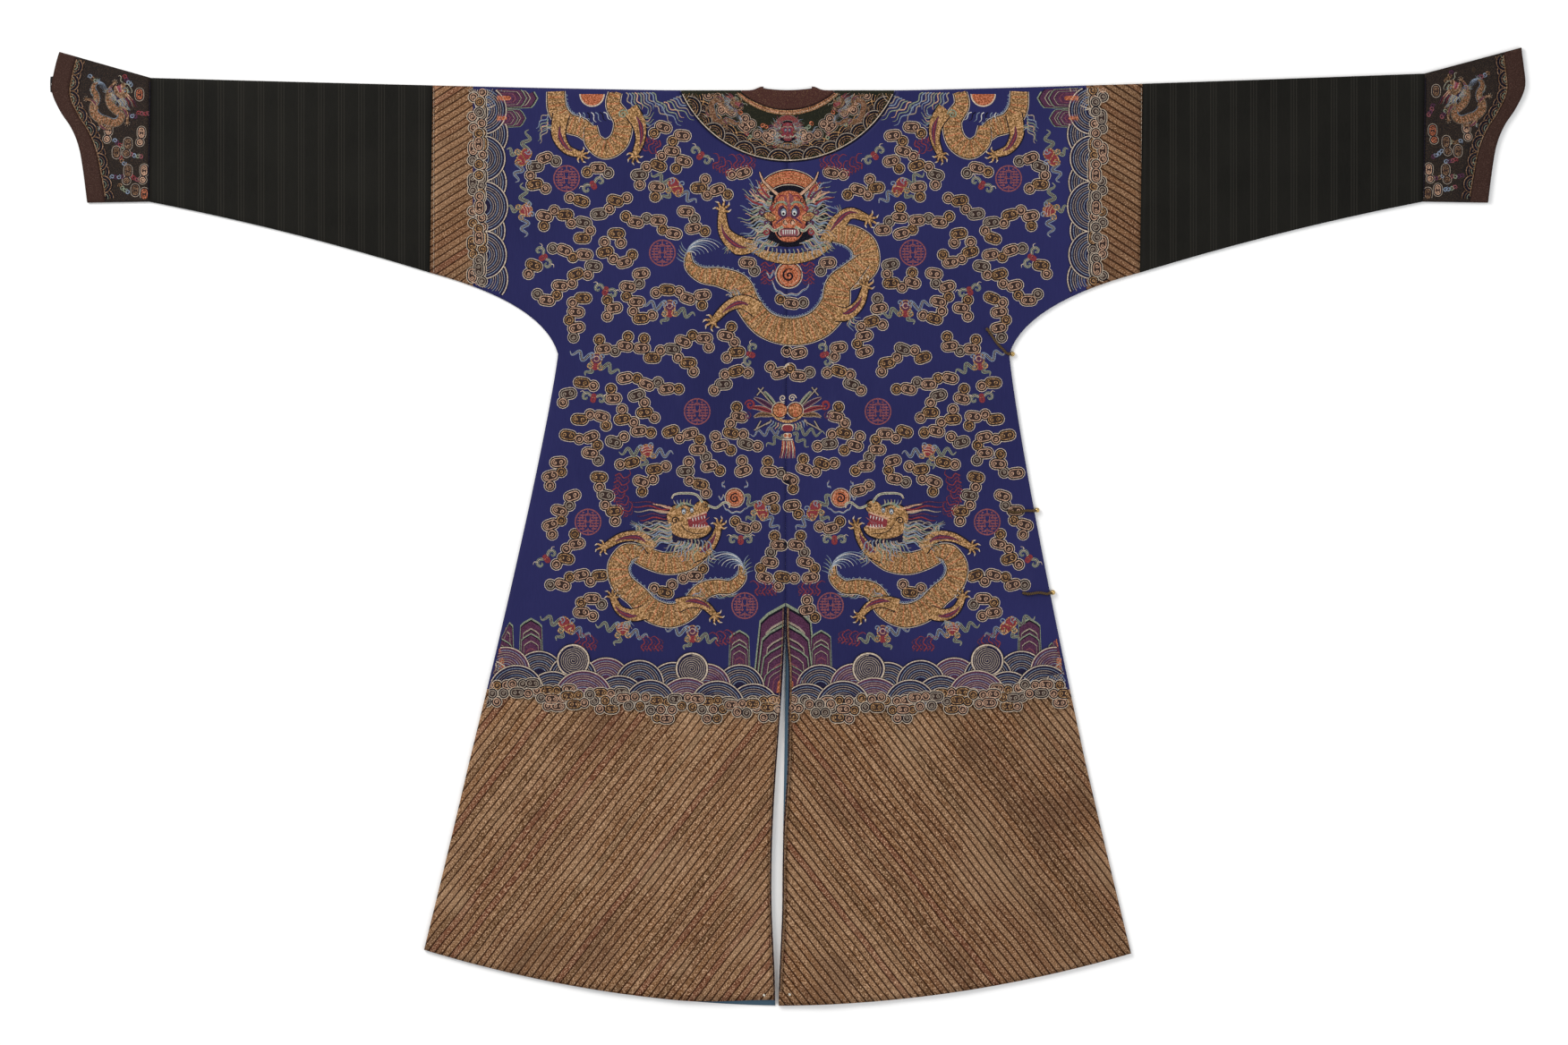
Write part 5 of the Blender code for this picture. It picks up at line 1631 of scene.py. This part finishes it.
def trophy(x, y):
    """Two peaches with leaves, staves and ribbons over a tassel."""
    needle = Needle(x, y, margin=0.007)
    for hand in (-1, 1):
        for number in range(4):
            angle = math.radians(68 - 34 * number)
            foot = (hand * (16 + 2 * number), 4 - 4 * number)
            tip = (hand * (22 + 34 * math.cos(angle)), 4 + 26 * math.sin(angle))
            middle = ((foot[0] + tip[0]) / 2 + hand * 3, (foot[1] + tip[1]) / 2 + 3)
            needle.outlined(flow([foot, middle, tip], 4), [2.0, 7.0, 5.0, 1.0],
                            ("sage", "plum", "red", "bronze")[number], "dull", 0.9, 2)
            needle.line(flow([foot, middle, tip], 4), [0.8, 1.2, 0.5], "night", 4)
        for ends in (((22, 8), (44, 33)), ((36, 34), (46, 22)), ((24, -16), (50, -30)),
                     ((40, -16), (48, -30))):
            needle.outlined([(hand * px, py) for px, py in ends], 1.8, "dull", "night", 0.9, 5)
        needle.line(coil(hand * 56, 8, 8.0, 1.4, 180, 0.2, hand), [1.4, 4.2, 2.0], "red", 3)
        needle.line(coil(hand * 60, -8, 6.0, 1.2, 90, 0.2, hand), [1.2, 3.0, 1.4], "plum", 3)
        for reach, colour, layer in ((12.6, "cream", 6), (11.4, "night", 7), (10.2, "orange", 8)):
            needle.patch(arc(hand * 11.5, 0, reach, 0, 360, 27)[:-1], colour, layer)
        for reach in (3.0, 6.0, 8.6):
            needle.line(arc(hand * 11.5, -1, reach, -60, 240, 16), 1.0,
                        ("gold", "bronze", "gold")[int(reach) % 3], 9)
        ribbon(needle, 42, 5, ("sky", "sage")[hand > 0], (hand * 14, -30), 90 - hand * 98, 5.4)
        ribbon(needle, 30, 4, "sage", (hand * 8, -36), 90 - hand * 128, 4.6)
        needle.line(coil(hand * 7, 18, 6.0, 1.5, 0, 0.15, hand), 1.6, "cream", 5)
    for number in range(15):
        part = number / 7 - 1
        lock(needle, (24 * part, -13 - 7 * (1 - part * part)), -90 + 34 * part, 12, HAIR[number % 7], 0.8,
             1.2, 1.8, 5)
    needle.line(arc(0, 10, 27, 212, 328, 22), 4.2, "gold", 6)
    for level, half, colour in ((-26, 9, "cream"), (-27, 8, "red"), (-38, 6.5, "cream"),
                                (-38, 5.5, "orange")):
        needle.patch(capsule(0, level, half * 0.4, half * 0.6), colour, 7 + (colour != "cream"))
    for number in range(9):
        lock(needle, (-7 + 1.75 * number, -42), -98 + 2 * number, 30, ("orange", "peach", "red",
                                                                       "cream")[number % 4], 0.6, 1.0, 1.7,
             6)
    needle.line([(-8, -44), (8, -44)], 2.0, "cream", 8)


def sew_figures():
    """Everything that stands on the blue ground but the clouds."""
    front_dragon(Needle(*FRONT_DRAGON, margin=0.006))
    pearl(FRONT_DRAGON[0], FRONT_DRAGON[1] - 0.088)
    for flip in (-1, 1):
        profile_dragon(Needle(-PROFILE_DRAGON[0] * flip, PROFILE_DRAGON[1], flip=flip, margin=0.006))
        pearl(-flip * 0.079, -0.609, 13.0, 0, flip)
        shoulder_dragon(flip)
        for x, depth in MEDALLIONS:
            medallion(flip * x, -depth)
        for x, depth, kind, turn in TREASURES:
            treasure(flip * x, -depth, kind, flip * turn, 1.3, flip)
        for x, depth, turn in BATS:
            bat(flip * x, -depth, flip * turn, 1.0, flip)
        for x, depth, turn in FLAMES:
            flame(flip * x, -depth, flip * turn, 1.1, flip)
    trophy(0.0, -0.478)


# Outlines of the grounds that are embroidered

def body_outline(side):
    """The outline of one half of the back."""
    across = np.linspace(0, 1, 12)
    seam = [panel_line(side, "back", level, 1.0) for level in spaced(0.02, 1.0, 6)]
    fold = [panel_line(side, "back", level, 1.0) - side_normal(side, level) * FOLD_INSET
            for level in spaced(1.0, 2.0, 14)[1:] + spaced(2.0, 3.0, 30)[1:]]
    vent = [panel_line(side, "back", level, 0.0) for level in spaced(3.0, 1.0, 80)[1:]]
    neck = [panel_line(side, "back", level, 0.0) for level in spaced(1.0, 0.0, 24)[1:]]
    return np.array([*panel_line(side, "back", 0, across), *seam, *fold, *panel_line(side, "back", 3.0,
                                                                                     across[::-1]), *vent,
                     *neck])


def collar_outline():
    """The outline of the collar."""
    places = np.linspace(0.004, 0.996, 60)
    outer = neck_line(COLLAR_OUTER, COLLAR_INNER, "back", 0.0, places)
    return np.concatenate([outer, neck_line(COLLAR_OUTER, COLLAR_INNER, "back", 1.0, places)[::-1]])


def cuff_outline(side):
    """The outline of a cuff, without its edging."""
    across = np.linspace(0.02, 0.98, 30)
    inner = cuff_section(side, 0.0, 0.0)(across)
    outer = cuff_section(side, 1.0, CUFF_EDGE_WIDTH + SEAM_GAP)(across)
    return np.concatenate([inner, outer[::-1]])


def within(points, outline):
    """True for each point inside a closed outline."""
    x, y = points.T
    inside = np.zeros(len(x), bool)
    for (x1, y1), (x2, y2) in zip(outline, np.roll(outline, -1, axis=0)):
        if y1 != y2:
            inside ^= ((y1 > y) != (y2 > y)) & (x < (x2 - x1) * (y - y1) / (y2 - y1) + x1)
    return inside


GROUNDS = {
    "body": [body_outline(-1), body_outline(1)],
    "collar": [collar_outline()],
    "cuffs": [cuff_outline(-1), cuff_outline(1)],
}


def laid_on(ground, work):
    """The points and faces of one colour that fall on the ground, set on its surface."""
    points = np.concatenate(work.points)
    keep = []
    groups = [np.concatenate(group) for group in (work.quads, work.triangles) if group]
    homes = [within(points[:, :2], outline) for outline in GROUNDS[ground]]
    if ground == "body":
        homes.append(np.any(homes, axis=0) & (points[:, 1] > -VENT_DEPTH))
    for faces in groups:
        keep.append(faces[np.any([home[faces].all(axis=1) for home in homes], axis=0)])
    height = TOP + points[:, 2]
    if ground == "body":
        height = height + drape(points[:, 0], points[:, 1])
    return np.column_stack([points[:, :2], height]), keep


def faces_up(points, faces):
    """The same faces, each turned so that it faces up."""
    a, b, c = (points[faces[:, i]] for i in (0, 1, 2))
    down = np.cross(b - a, c - a)[:, 2] < 0
    return np.where(down[:, None], faces[:, ::-1], faces)


def sew_pieces():
    """Makes one piece of everything sewn in each colour."""
    for colour in THREADS:
        points, faces, count = [], [], 0
        for (ground, thread), work in WORK.items():
            if thread == colour and work.points:
                laid, kept = laid_on(ground, work)
                for group in kept:
                    faces += (faces_up(laid, group) + count).tolist()
                points.append(laid)
                count += len(laid)
        if not faces:
            continue
        points = np.concatenate(points)
        used = np.unique(np.concatenate([np.asarray(face) for face in faces]))
        order = np.zeros(len(points), int)
        order[used] = np.arange(len(used))
        faces = [order[face].tolist() for face in faces]
        piece = new_piece("embroidery_" + colour, points[used], faces, [FINISH[colour]])
        flat_map(piece, points[used])


def flat_map(piece, points):
    """A texture map that is the plan of the robe, so that a bake needs no unwrapping."""
    plan = piece.data.uv_layers.new(name="OFBake")
    corners = np.empty(len(piece.data.loops), np.int32)
    piece.data.loops.foreach_get("vertex_index", corners)
    low, high = points[:, :2].min(axis=0), points[:, :2].max(axis=0)
    places = (points[:, :2] - low) / (high - low) * 0.98 + 0.01
    plan.data.foreach_set("uv", places[corners].astype(np.float32).ravel())


# The collar, the cuffs and the edges

EDGE_THREADS = ("bronze", "gold", "bronze")


def collar_line(part, count=80):
    """A line round the collar in millimetres; part 0 is its outer edge and 1 its inner one."""
    return neck_line(COLLAR_OUTER, COLLAR_INNER, "back", part, np.linspace(0.0, 1.0, count)) / MILLIMETRE


def on_collar(place, part, size=1.0, turn=0.0):
    """A needle on the collar whose y points at the neck."""
    here, ahead = (neck_line(COLLAR_OUTER, COLLAR_INNER, "back", reach, np.array([place]))[0]
                   for reach in (part, part + 0.05))
    way = ahead - here
    turned = math.degrees(math.atan2(way[1], way[0])) - 90 + turn
    return Needle(*here, turned, size, ground="collar")


def sew_collar():
    """The collar: waves on its outer edge, dragons, clouds and a gold border."""
    rng = np.random.default_rng(3)
    whole = Needle(0.0, 0.0, ground="collar")
    for number in range(15):
        place = (number + 0.5) / 15
        wave_fan(on_collar(place, 0.11), 0, 0, 18, 0, 0, 180, "night", "gold", 6, EDGE_THREADS, 0.8)
    for number in range(16):
        wave_fan(on_collar(number / 15, 0.0), 0, 0, 17, 7 + 4 * (number % 2), 0, 180, "night", "dull", 6,
                 EDGE_THREADS, 0.8)
    for number in range(13):
        lean = (number - 6) * 3.1
        whole.line([(lean * 1.25, -94 + abs(lean) * 0.16), (lean * 0.55, -106)], 1.9,
                   ("gold", "orange", "bronze")[number % 3], 14)
    dark = {"gold": "bronze", "orange": "red", "peach": "rose", "white": "dull", "cream": "dull"}
    dragon_head(Needle(0.0, -0.062, size=0.36, ground="collar", instead={**dark, "cream": "cream"}))
    for flip in (-1, 1):
        profile_dragon(Needle(flip * 0.092, -0.030, turn=flip * 34, size=0.27, flip=-flip, ground="collar",
                              instead=dark))
        below_dragon = Needle(flip * 0.016, -0.076, turn=flip * 28, size=0.75, flip=flip, ground="collar")
        ribbon(below_dragon, 48, 5, "sky", (0, 0), 8, 3.4, 3)
    for place, part, half in ((0.235, 0.60, 0), (0.265, 0.46, 4), (0.285, 0.56, 0), (0.400, 0.42, 4),
                              (0.415, 0.52, 0), (0.140, 0.56, 4), (0.118, 0.45, 0), (0.345, 0.42, 0),
                              (0.045, 0.55, 4), (0.020, 0.42, 0)):
        for mirrored in (place, 1 - place):
            unit = (0, 0, half, rng.uniform(-30, 30), int(rng.choice((-1, 1))))
            cloud(on_collar(mirrored, part, 0.92), [unit], ("peach",), 3, "dull")
    for place, part in ((0.30, 0.36), (0.37, 0.62), (0.19, 0.40), (0.08, 0.70), (0.45, 0.66), (0.16, 0.72),
                        (0.43, 0.34)):
        for mirrored in (place, 1 - place):
            needle = on_collar(mirrored, part, 0.8, rng.uniform(-60, 60))
            for number in range(3):
                colour = ("red", "orange", "plum", "sage", "rose")[rng.integers(5)]
                needle.line(coil(7 * number - 7, 0, 4.5, 1.1, 120 * number, 0.3), [1.0, 2.6, 1.2], colour, 3)
    whole.line(collar_line(0.945), 7.4, "gold", 12)
    for part, colour in ((0.900, "bronze"), (0.930, "cream"), (0.965, "bronze"), (0.992, "night")):
        whole.line(collar_line(part), 0.9, colour, 13)
    for number in range(96):
        place = (number + 0.5) / 96
        needle = on_collar(place, 0.945)
        needle.line([(-1.4, -2.6), (1.4, 2.6)], 0.9, ("bronze", "orange")[number % 2], 14)
    whole.line(collar_line(0.009, count=120), 1.3, "cream", 16)
    Needle(0.0, 0.0).line(collar_line(-0.018, count=120), 1.5, "night", 12)


def on_cuff(side, part, across, turn=0.0, size=1.0):
    """A needle on a cuff; part runs from the sleeve to the edging and across from top to bottom."""
    here = cuff_section(side, part, CUFF_EDGE_WIDTH + SEAM_GAP)(np.array([across]))[0]
    return Needle(*here, turn * side, size, side, "cuffs")


def sew_cuffs():
    """The cuffs: a dragon, clouds and curls, with waves along the edging."""
    rng = np.random.default_rng(8)
    for side in (-1, 1):
        dragon = on_cuff(side, 0.50, 0.28, 62, 0.36)
        dragon.instead = {"gold": "bronze", "white": "sky", "cream": "dull"}
        profile_dragon(dragon)
        for part, across, count in ((0.12, 0.46, 2), (0.10, 0.76, 2), (0.36, 0.58, 2), (0.42, 0.80, 2),
                                    (0.30, 0.92, 1), (0.62, 0.50, 2), (0.60, 0.68, 1), (0.14, 0.16, 1),
                                    (0.10, 0.94, 1)):
            units = []
            for number in range(count):
                half = 3.6 if number % 2 == 0 else 0.0
                units.append((2.5 * (number % 2), -15.5 * number, half, 90, int(rng.choice((-1, 1)))))
            cloud(on_cuff(side, part, across, 0, 0.92), units,
                  (("peach", "bronze", "orange")[rng.integers(3)],), 3, "dull", 5.4)
        for part, across in ((0.25, 0.34), (0.52, 0.60), (0.50, 0.74), (0.24, 0.66), (0.66, 0.86),
                             (0.72, 0.14), (0.30, 0.08), (0.28, 0.84), (0.55, 0.92), (0.08, 0.30)):
            needle = on_cuff(side, part, across, rng.uniform(0, 90), 0.8)
            for number in range(4):
                colour = ("red", "plum", "sky", "bronze", "sage", "rose")[rng.integers(6)]
                needle.line(coil(6 * number - 9, 0, 4.6, 1.2, 100 * number, 0.3), [1.0, 2.2, 1.0], colour, 2)
        for number in range(17):
            across = (number + 0.5) / 17
            needle = on_cuff(side, 1.0, across)
            wave_fan(needle, 0, 0, 13, 8 + 4 * (number % 2), 90, 270, "night", "bronze", 5,
                     ("bronze", "bronze", "sage"), 0.8)
        seam = cuff_section(side, 0.0, 0.0)(np.linspace(0.0, 1.0, 30)) / MILLIMETRE
        Needle(0.0, 0.0, ground="cuffs").line(seam - (side * -1.0, 0), 1.6, "night", 14)
        edge = cuff_section(side, 1.0, CUFF_EDGE_WIDTH + SEAM_GAP)(np.linspace(0.0, 1.0, 60)) / MILLIMETRE
        Needle(0.0, 0.0, ground="cuffs").line(edge - (side * 1.2, 0), 1.4, "bronze", 15)


def sew_edges():
    """The stitched line at each sleeve seam and the bound edges of the vent."""
    for side in (-1, 1):
        needle = Needle(0.0, 0.0)
        for number in range(46):
            depth = -16 + 6.3 * number
            needle.line([(side * 528.2, -depth), (side * 528.2, -depth - 4.4)], 0.9, "dull", 24)
        edge = vent_edge(side)
        edge = edge[-edge[:, 1] > VENT_DEPTH + 0.004] / MILLIMETRE
        needle.line(edge + (side * 1.3, 0), 1.5, "night", 58)
        needle.line(edge + (side * 3.4, 0), (1.0, 2.4)[side > 0], "bronze", 57)


sew_figures()
sew_waves()
scatter_clouds()
sew_collar()
sew_cuffs()
sew_edges()
sew_pieces()

# The cords, the buttons and the other small parts

CORD_TWIST = 0.0062
CORD_SPLAY = 0.0010
STRAND = 0.0011
STRAND_TWIST = 0.0026
BUTTON_RADIUS = 0.0037
BUTTON_SHANK = math.radians(50)
WHITE_STITCH = 0.00032


def axes_along(path):
    """Three unit directions at each point of a path: ahead, to the side and up."""
    ahead = np.gradient(path, axis=0)
    ahead /= np.linalg.norm(ahead, axis=1)[:, None]
    beside = np.cross(ahead, (0.0, 0.0, 1.0))
    beside /= np.linalg.norm(beside, axis=1)[:, None]
    return ahead, beside, np.cross(beside, ahead)


def lengths_along(path):
    """How far along a path each of its points is."""
    return np.concatenate([[0], np.cumsum(np.linalg.norm(np.diff(path, axis=0), axis=1))])


def sweep(path, reach, sides=12, rib=0.0, lay=1.0):
    """A tube along a path; rib is how deep three grooves wind round it, once in a length of lay."""
    _, beside, above = axes_along(path)
    length = lengths_along(path)
    angle = np.linspace(0, math.tau, sides, endpoint=False)
    radius = reach * (1 + rib * np.cos(3 * (angle - math.tau * length[:, None] / lay)))
    ring = (beside[:, None] * np.cos(angle)[:, None] + above[:, None] * np.sin(angle)[:, None])
    points = (path[:, None] + ring * radius[..., None]).reshape(-1, 3)
    index = np.arange(len(points)).reshape(len(path), sides)
    faces = weave_round(index).tolist()
    return points, faces + [index[0, ::-1].tolist(), index[-1].tolist()]


def lathe(profile, centre, sides=28, ribs=0, depth=0.0):
    """A turned shape from (radius, height) pairs that start and end on the axis; ribs run over it."""
    profile = np.array(profile)
    angle = np.linspace(0, math.tau, sides, endpoint=False)
    reach = profile[1:-1, 0][:, None] * (1 - depth * (0.5 - 0.5 * np.cos(ribs * angle)))
    ring = np.stack([reach * np.cos(angle), reach * np.sin(angle),
                     np.broadcast_to(profile[1:-1, 1][:, None], reach.shape)], -1)
    index = np.arange(reach.size).reshape(reach.shape)
    points = np.concatenate([ring.reshape(-1, 3), [(0, 0, profile[0, 1]), (0, 0, profile[-1, 1])]]) + centre
    first, last = len(points) - 2, len(points) - 1
    faces = weave_round(index).tolist()
    for one, two in zip(range(sides), np.roll(range(sides), -1)):
        faces.append([first, int(index[0, two]), int(index[0, one])])
        faces.append([last, int(index[-1, one]), int(index[-1, two])])
    return points, faces


def joined(*shapes):
    """Several shapes as one list of points and one of faces."""
    points, faces, count = [], [], 0
    for shape, polygons in shapes:
        points.append(shape)
        faces += [[int(corner) + count for corner in polygon] for polygon in polygons]
        count += len(shape)
    return np.concatenate(points), faces


def middle_of(node):
    """The middle of a CAD node, counted from the origin of the robe."""
    low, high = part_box(node)
    return np.array([(a + b) / 2 for a, b in zip(low, high)]) - ORIGIN


def stand_in(node, shape, finish):
    """One made piece in place of its plain CAD node."""
    piece = new_piece("made_" + node, *shape, [finish])
    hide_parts(node)


def toggle(number):
    """A doubled, twisted cord with its knot, and the ribbed ball button at its end."""
    ball = middle_of("button_%d" % number)
    level = 2 + (-ball[1] - UNDERARM_DEPTH) / (HEM_CORNER_DEPTH[1] - UNDERARM_DEPTH)
    outward = side_normal(1, max(level, 2.0))
    x, depth = CORD_STARTS[number - 1]
    start = np.array((x, -depth))
    turn_in = ball[:2] - outward * (BUTTON_RADIUS + 0.0056)
    bed = TOP + 0.0003 + STRAND + CORD_SPLAY
    route = []
    for part in np.linspace(0, 1, 9):
        x, y = start + (turn_in - start) * part
        bend = 0.0012 * math.sin(part * 7 + number)
        route.append((x, y + bend, bed + float(drape(np.array([x]), np.array([y]))[0])))
    for reach in (BUTTON_RADIUS + 0.0034, BUTTON_RADIUS + 0.0010):
        x, y = ball[:2] - outward * reach * math.cos(BUTTON_SHANK)
        route.append((x, y, ball[2] + reach * math.sin(BUTTON_SHANK)))
    route = np.array(route)
    lengths = lengths_along(route)
    places = np.linspace(0, lengths[-1], int(lengths[-1] / 0.0003))
    path = np.stack([np.interp(places, lengths, route[:, axis]) for axis in range(3)], 1)
    ahead, beside, above = axes_along(path)
    shapes = []
    for phase in (0.0, math.pi):
        angle = math.tau * places / CORD_TWIST + phase
        taper = CORD_SPLAY * (1 - 0.55 * smooth(lengths[-1] - 0.006, lengths[-1], places))
        strand = path + beside * (taper * np.cos(angle))[:, None] + above * (taper * np.sin(angle))[:, None]
        shapes.append(sweep(strand, STRAND, 12, 0.10, STRAND_TWIST))
    knot = path[-10]
    for tilt in (0.0, 2.1, 4.2):
        angle = np.linspace(0, math.tau, 25)
        ring = (knot + ahead[-10] * (0.0004 * np.sin(angle + tilt))[:, None] + beside[-10]
                * (0.0017 * np.cos(angle))[:, None] + above[-10] * (0.0017 * np.sin(angle))[:, None]
                + ahead[-10] * (0.0009 * (tilt - 2.1) / 2.1))
        shapes.append(sweep(ring, 0.0008, 10, 0.08, STRAND_TWIST))
    for place in (0.0025, 0.0085):
        here = np.interp(place, places, path[:, 0]), np.interp(place, places, path[:, 1])
        across = np.linspace(-1, 1, 13)
        bridge = np.stack([here[0] + beside[5, 0] * across * 0.0030, here[1] + beside[5, 1] * across * 0.0030,
                           TOP + 0.0003 + float(drape(*(np.array([value]) for value in here))[0])
                           + 0.0044 * np.sqrt(np.maximum(1 - across ** 2, 0))], 1)
        shapes.append(sweep(bridge, 0.00045, 8))
    stand_in("toggle_loop_%d" % number, joined(*shapes), FINISH["cord"])
    turns = np.linspace(-math.pi / 2, math.pi / 2, 19)
    profile = [(BUTTON_RADIUS * math.cos(turn), BUTTON_RADIUS * math.sin(turn)) for turn in turns]
    stand_in("button_%d" % number, lathe(profile, ball, 48, 12, 0.035), FINISH["brass"])


def stitch(start, end, height, width):
    """One raised stitch between two places."""
    part = np.linspace(0, 1, 9)
    path = np.column_stack([start[0] + (end[0] - start[0]) * part, start[1] + (end[1] - start[1]) * part,
                            height + 0.0003 * np.sin(part * math.pi)])
    return sweep(path, width, 8)


def black_tab():
    """A folded tape with turned edges, and the white stitches in a cross that hold it."""
    low, high = (np.array(corner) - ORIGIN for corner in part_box("cuff_tab"))
    centre, size = (low + high) / 2, high - low
    columns, rows = 14, 20
    u, v = np.meshgrid(np.linspace(-1, 1, columns + 1), np.linspace(-1, 1, rows + 1))
    rim = np.maximum(np.abs(u), np.abs(v))
    x = centre[0] + u * size[0] / 2 * (1 - 0.05 * v * v)
    y = centre[1] + v * size[1] / 2 * (1 - 0.04 * u * u)
    swell = 0.28 * smooth(1.0, 0.9, rim) + 0.10 * smooth(0.86, 0.80, rim) * np.cos(v * 9)
    upper = centre[2] + size[2] * (0.18 + swell)
    lower = centre[2] - size[2] * (0.5 * smooth(1.0, 0.94, rim) + 0.02)
    count = x.size
    index = np.arange(count).reshape(x.shape)
    top = weave(index).tolist()
    under = [[corner + count for corner in face[::-1]] for face in weave(index).tolist()]
    border = [*index[0], *index[1:, -1], *index[-1, -2::-1], *index[-2:0:-1, 0]]
    wall = [[int(a), int(a) + count, int(b) + count, int(b)] for a, b in zip(border, np.roll(border, -1))]
    points = np.concatenate([np.stack([x, y, upper], -1).reshape(-1, 3),
                             np.stack([x, y, lower], -1).reshape(-1, 3)])
    stand_in("cuff_tab", (points, top + under + wall), FINISH["tape"])
    height = float(upper.max()) + 0.0002
    reach = 0.0014
    spot = np.array((low[0] + 0.0027, centre[1]))
    crosses = [stitch(spot + (-reach, -reach), spot + (reach, reach), height, WHITE_STITCH),
               stitch(spot + (-reach, reach), spot + (reach, -reach), height + 0.0003, WHITE_STITCH)]
    mark = new_piece("tab_stitches", *joined(*crosses), [FINISH["white"]])


def bead(word):
    """A small flat bead: a domed disc with a raised rim and a dimple."""
    node = "vent_bead_" + word
    low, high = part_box(node)
    reach, rise = (high.x - low.x) / 2, (high.z - low.z) / 2
    profile = [(0.0, -rise), (reach * 0.55, -rise * 0.95), (reach * 0.90, -rise * 0.45), (reach, 0.0),
               (reach * 0.95, rise * 0.50), (reach * 0.72, rise * 0.95), (reach * 0.50, rise * 0.86),
               (reach * 0.30, rise * 0.50), (0.0, rise * 0.36)]
    stand_in(node, lathe(profile, middle_of(node), 32), FINISH["pewter"])


for cord_number in (1, 2, 3):
    toggle(cord_number)
black_tab()
for word in ("left", "right"):
    bead(word)

# The floor, the lights and the camera

CAMERA_HEIGHT = 7.81
FRAME_CENTRE = (-0.005, 0.006)
FLOOR_SIZE = 14.0
FLOOR_DROP = 0.0005
WORLD_STRENGTH = 0.62


def light(name, place, size, power, colour=(1.0, 1.0, 1.0)):
    """A square lamp that points at the robe."""
    lamp = bpy.data.lights.new(name, "AREA")
    lamp.shape = "SQUARE"
    lamp.size = size
    lamp.energy = power
    lamp.color = colour
    holder = bpy.data.objects.new(name, lamp)
    holder.location = place
    aim = -holder.location.normalized()
    holder.rotation_euler = aim.to_track_quat("-Z", "Y").to_euler()
    bpy.context.scene.collection.objects.link(holder)


def floor_finish():
    """Nearly white, so that the floor shows only the robe's shadow."""
    f = Finish("floor", 0.8)
    return f.finish(f.ramp(f.noise(1.5, 2.0), (0.3, (0.90, 0.90, 0.90)), (0.7, (0.93, 0.93, 0.93))))


bpy.ops.mesh.primitive_grid_add(size=FLOOR_SIZE, x_subdivisions=2, y_subdivisions=2,
                                location=(0.0, 0.0, -FLOOR_DROP))
floor = bpy.context.object
floor.name = "floor"
floor.data.materials.append(floor_finish())

light("key", (-2.6, 2.4, 3.2), 2.2, 150.0, (1.0, 0.985, 0.96))
light("fill", (3.0, -1.2, 3.6), 3.2, 70.0, (0.96, 0.98, 1.0))
world = bpy.data.worlds.new("studio")
world.use_nodes = True
background = world.node_tree.nodes["Background"]
background.inputs["Color"].default_value = (1.0, 1.0, 1.0, 1.0)
background.inputs["Strength"].default_value = WORLD_STRENGTH
bpy.context.scene.world = world
bpy.context.scene.view_settings.view_transform = "Standard"

camera = bpy.data.objects.new("camera", bpy.data.cameras.new("camera"))
camera.data.lens = 120.0
camera.data.sensor_width = 36.0
camera.data.clip_end = 40.0
camera.location = (*FRAME_CENTRE, CAMERA_HEIGHT)
bpy.context.scene.collection.objects.link(camera)
bpy.context.scene.camera = camera
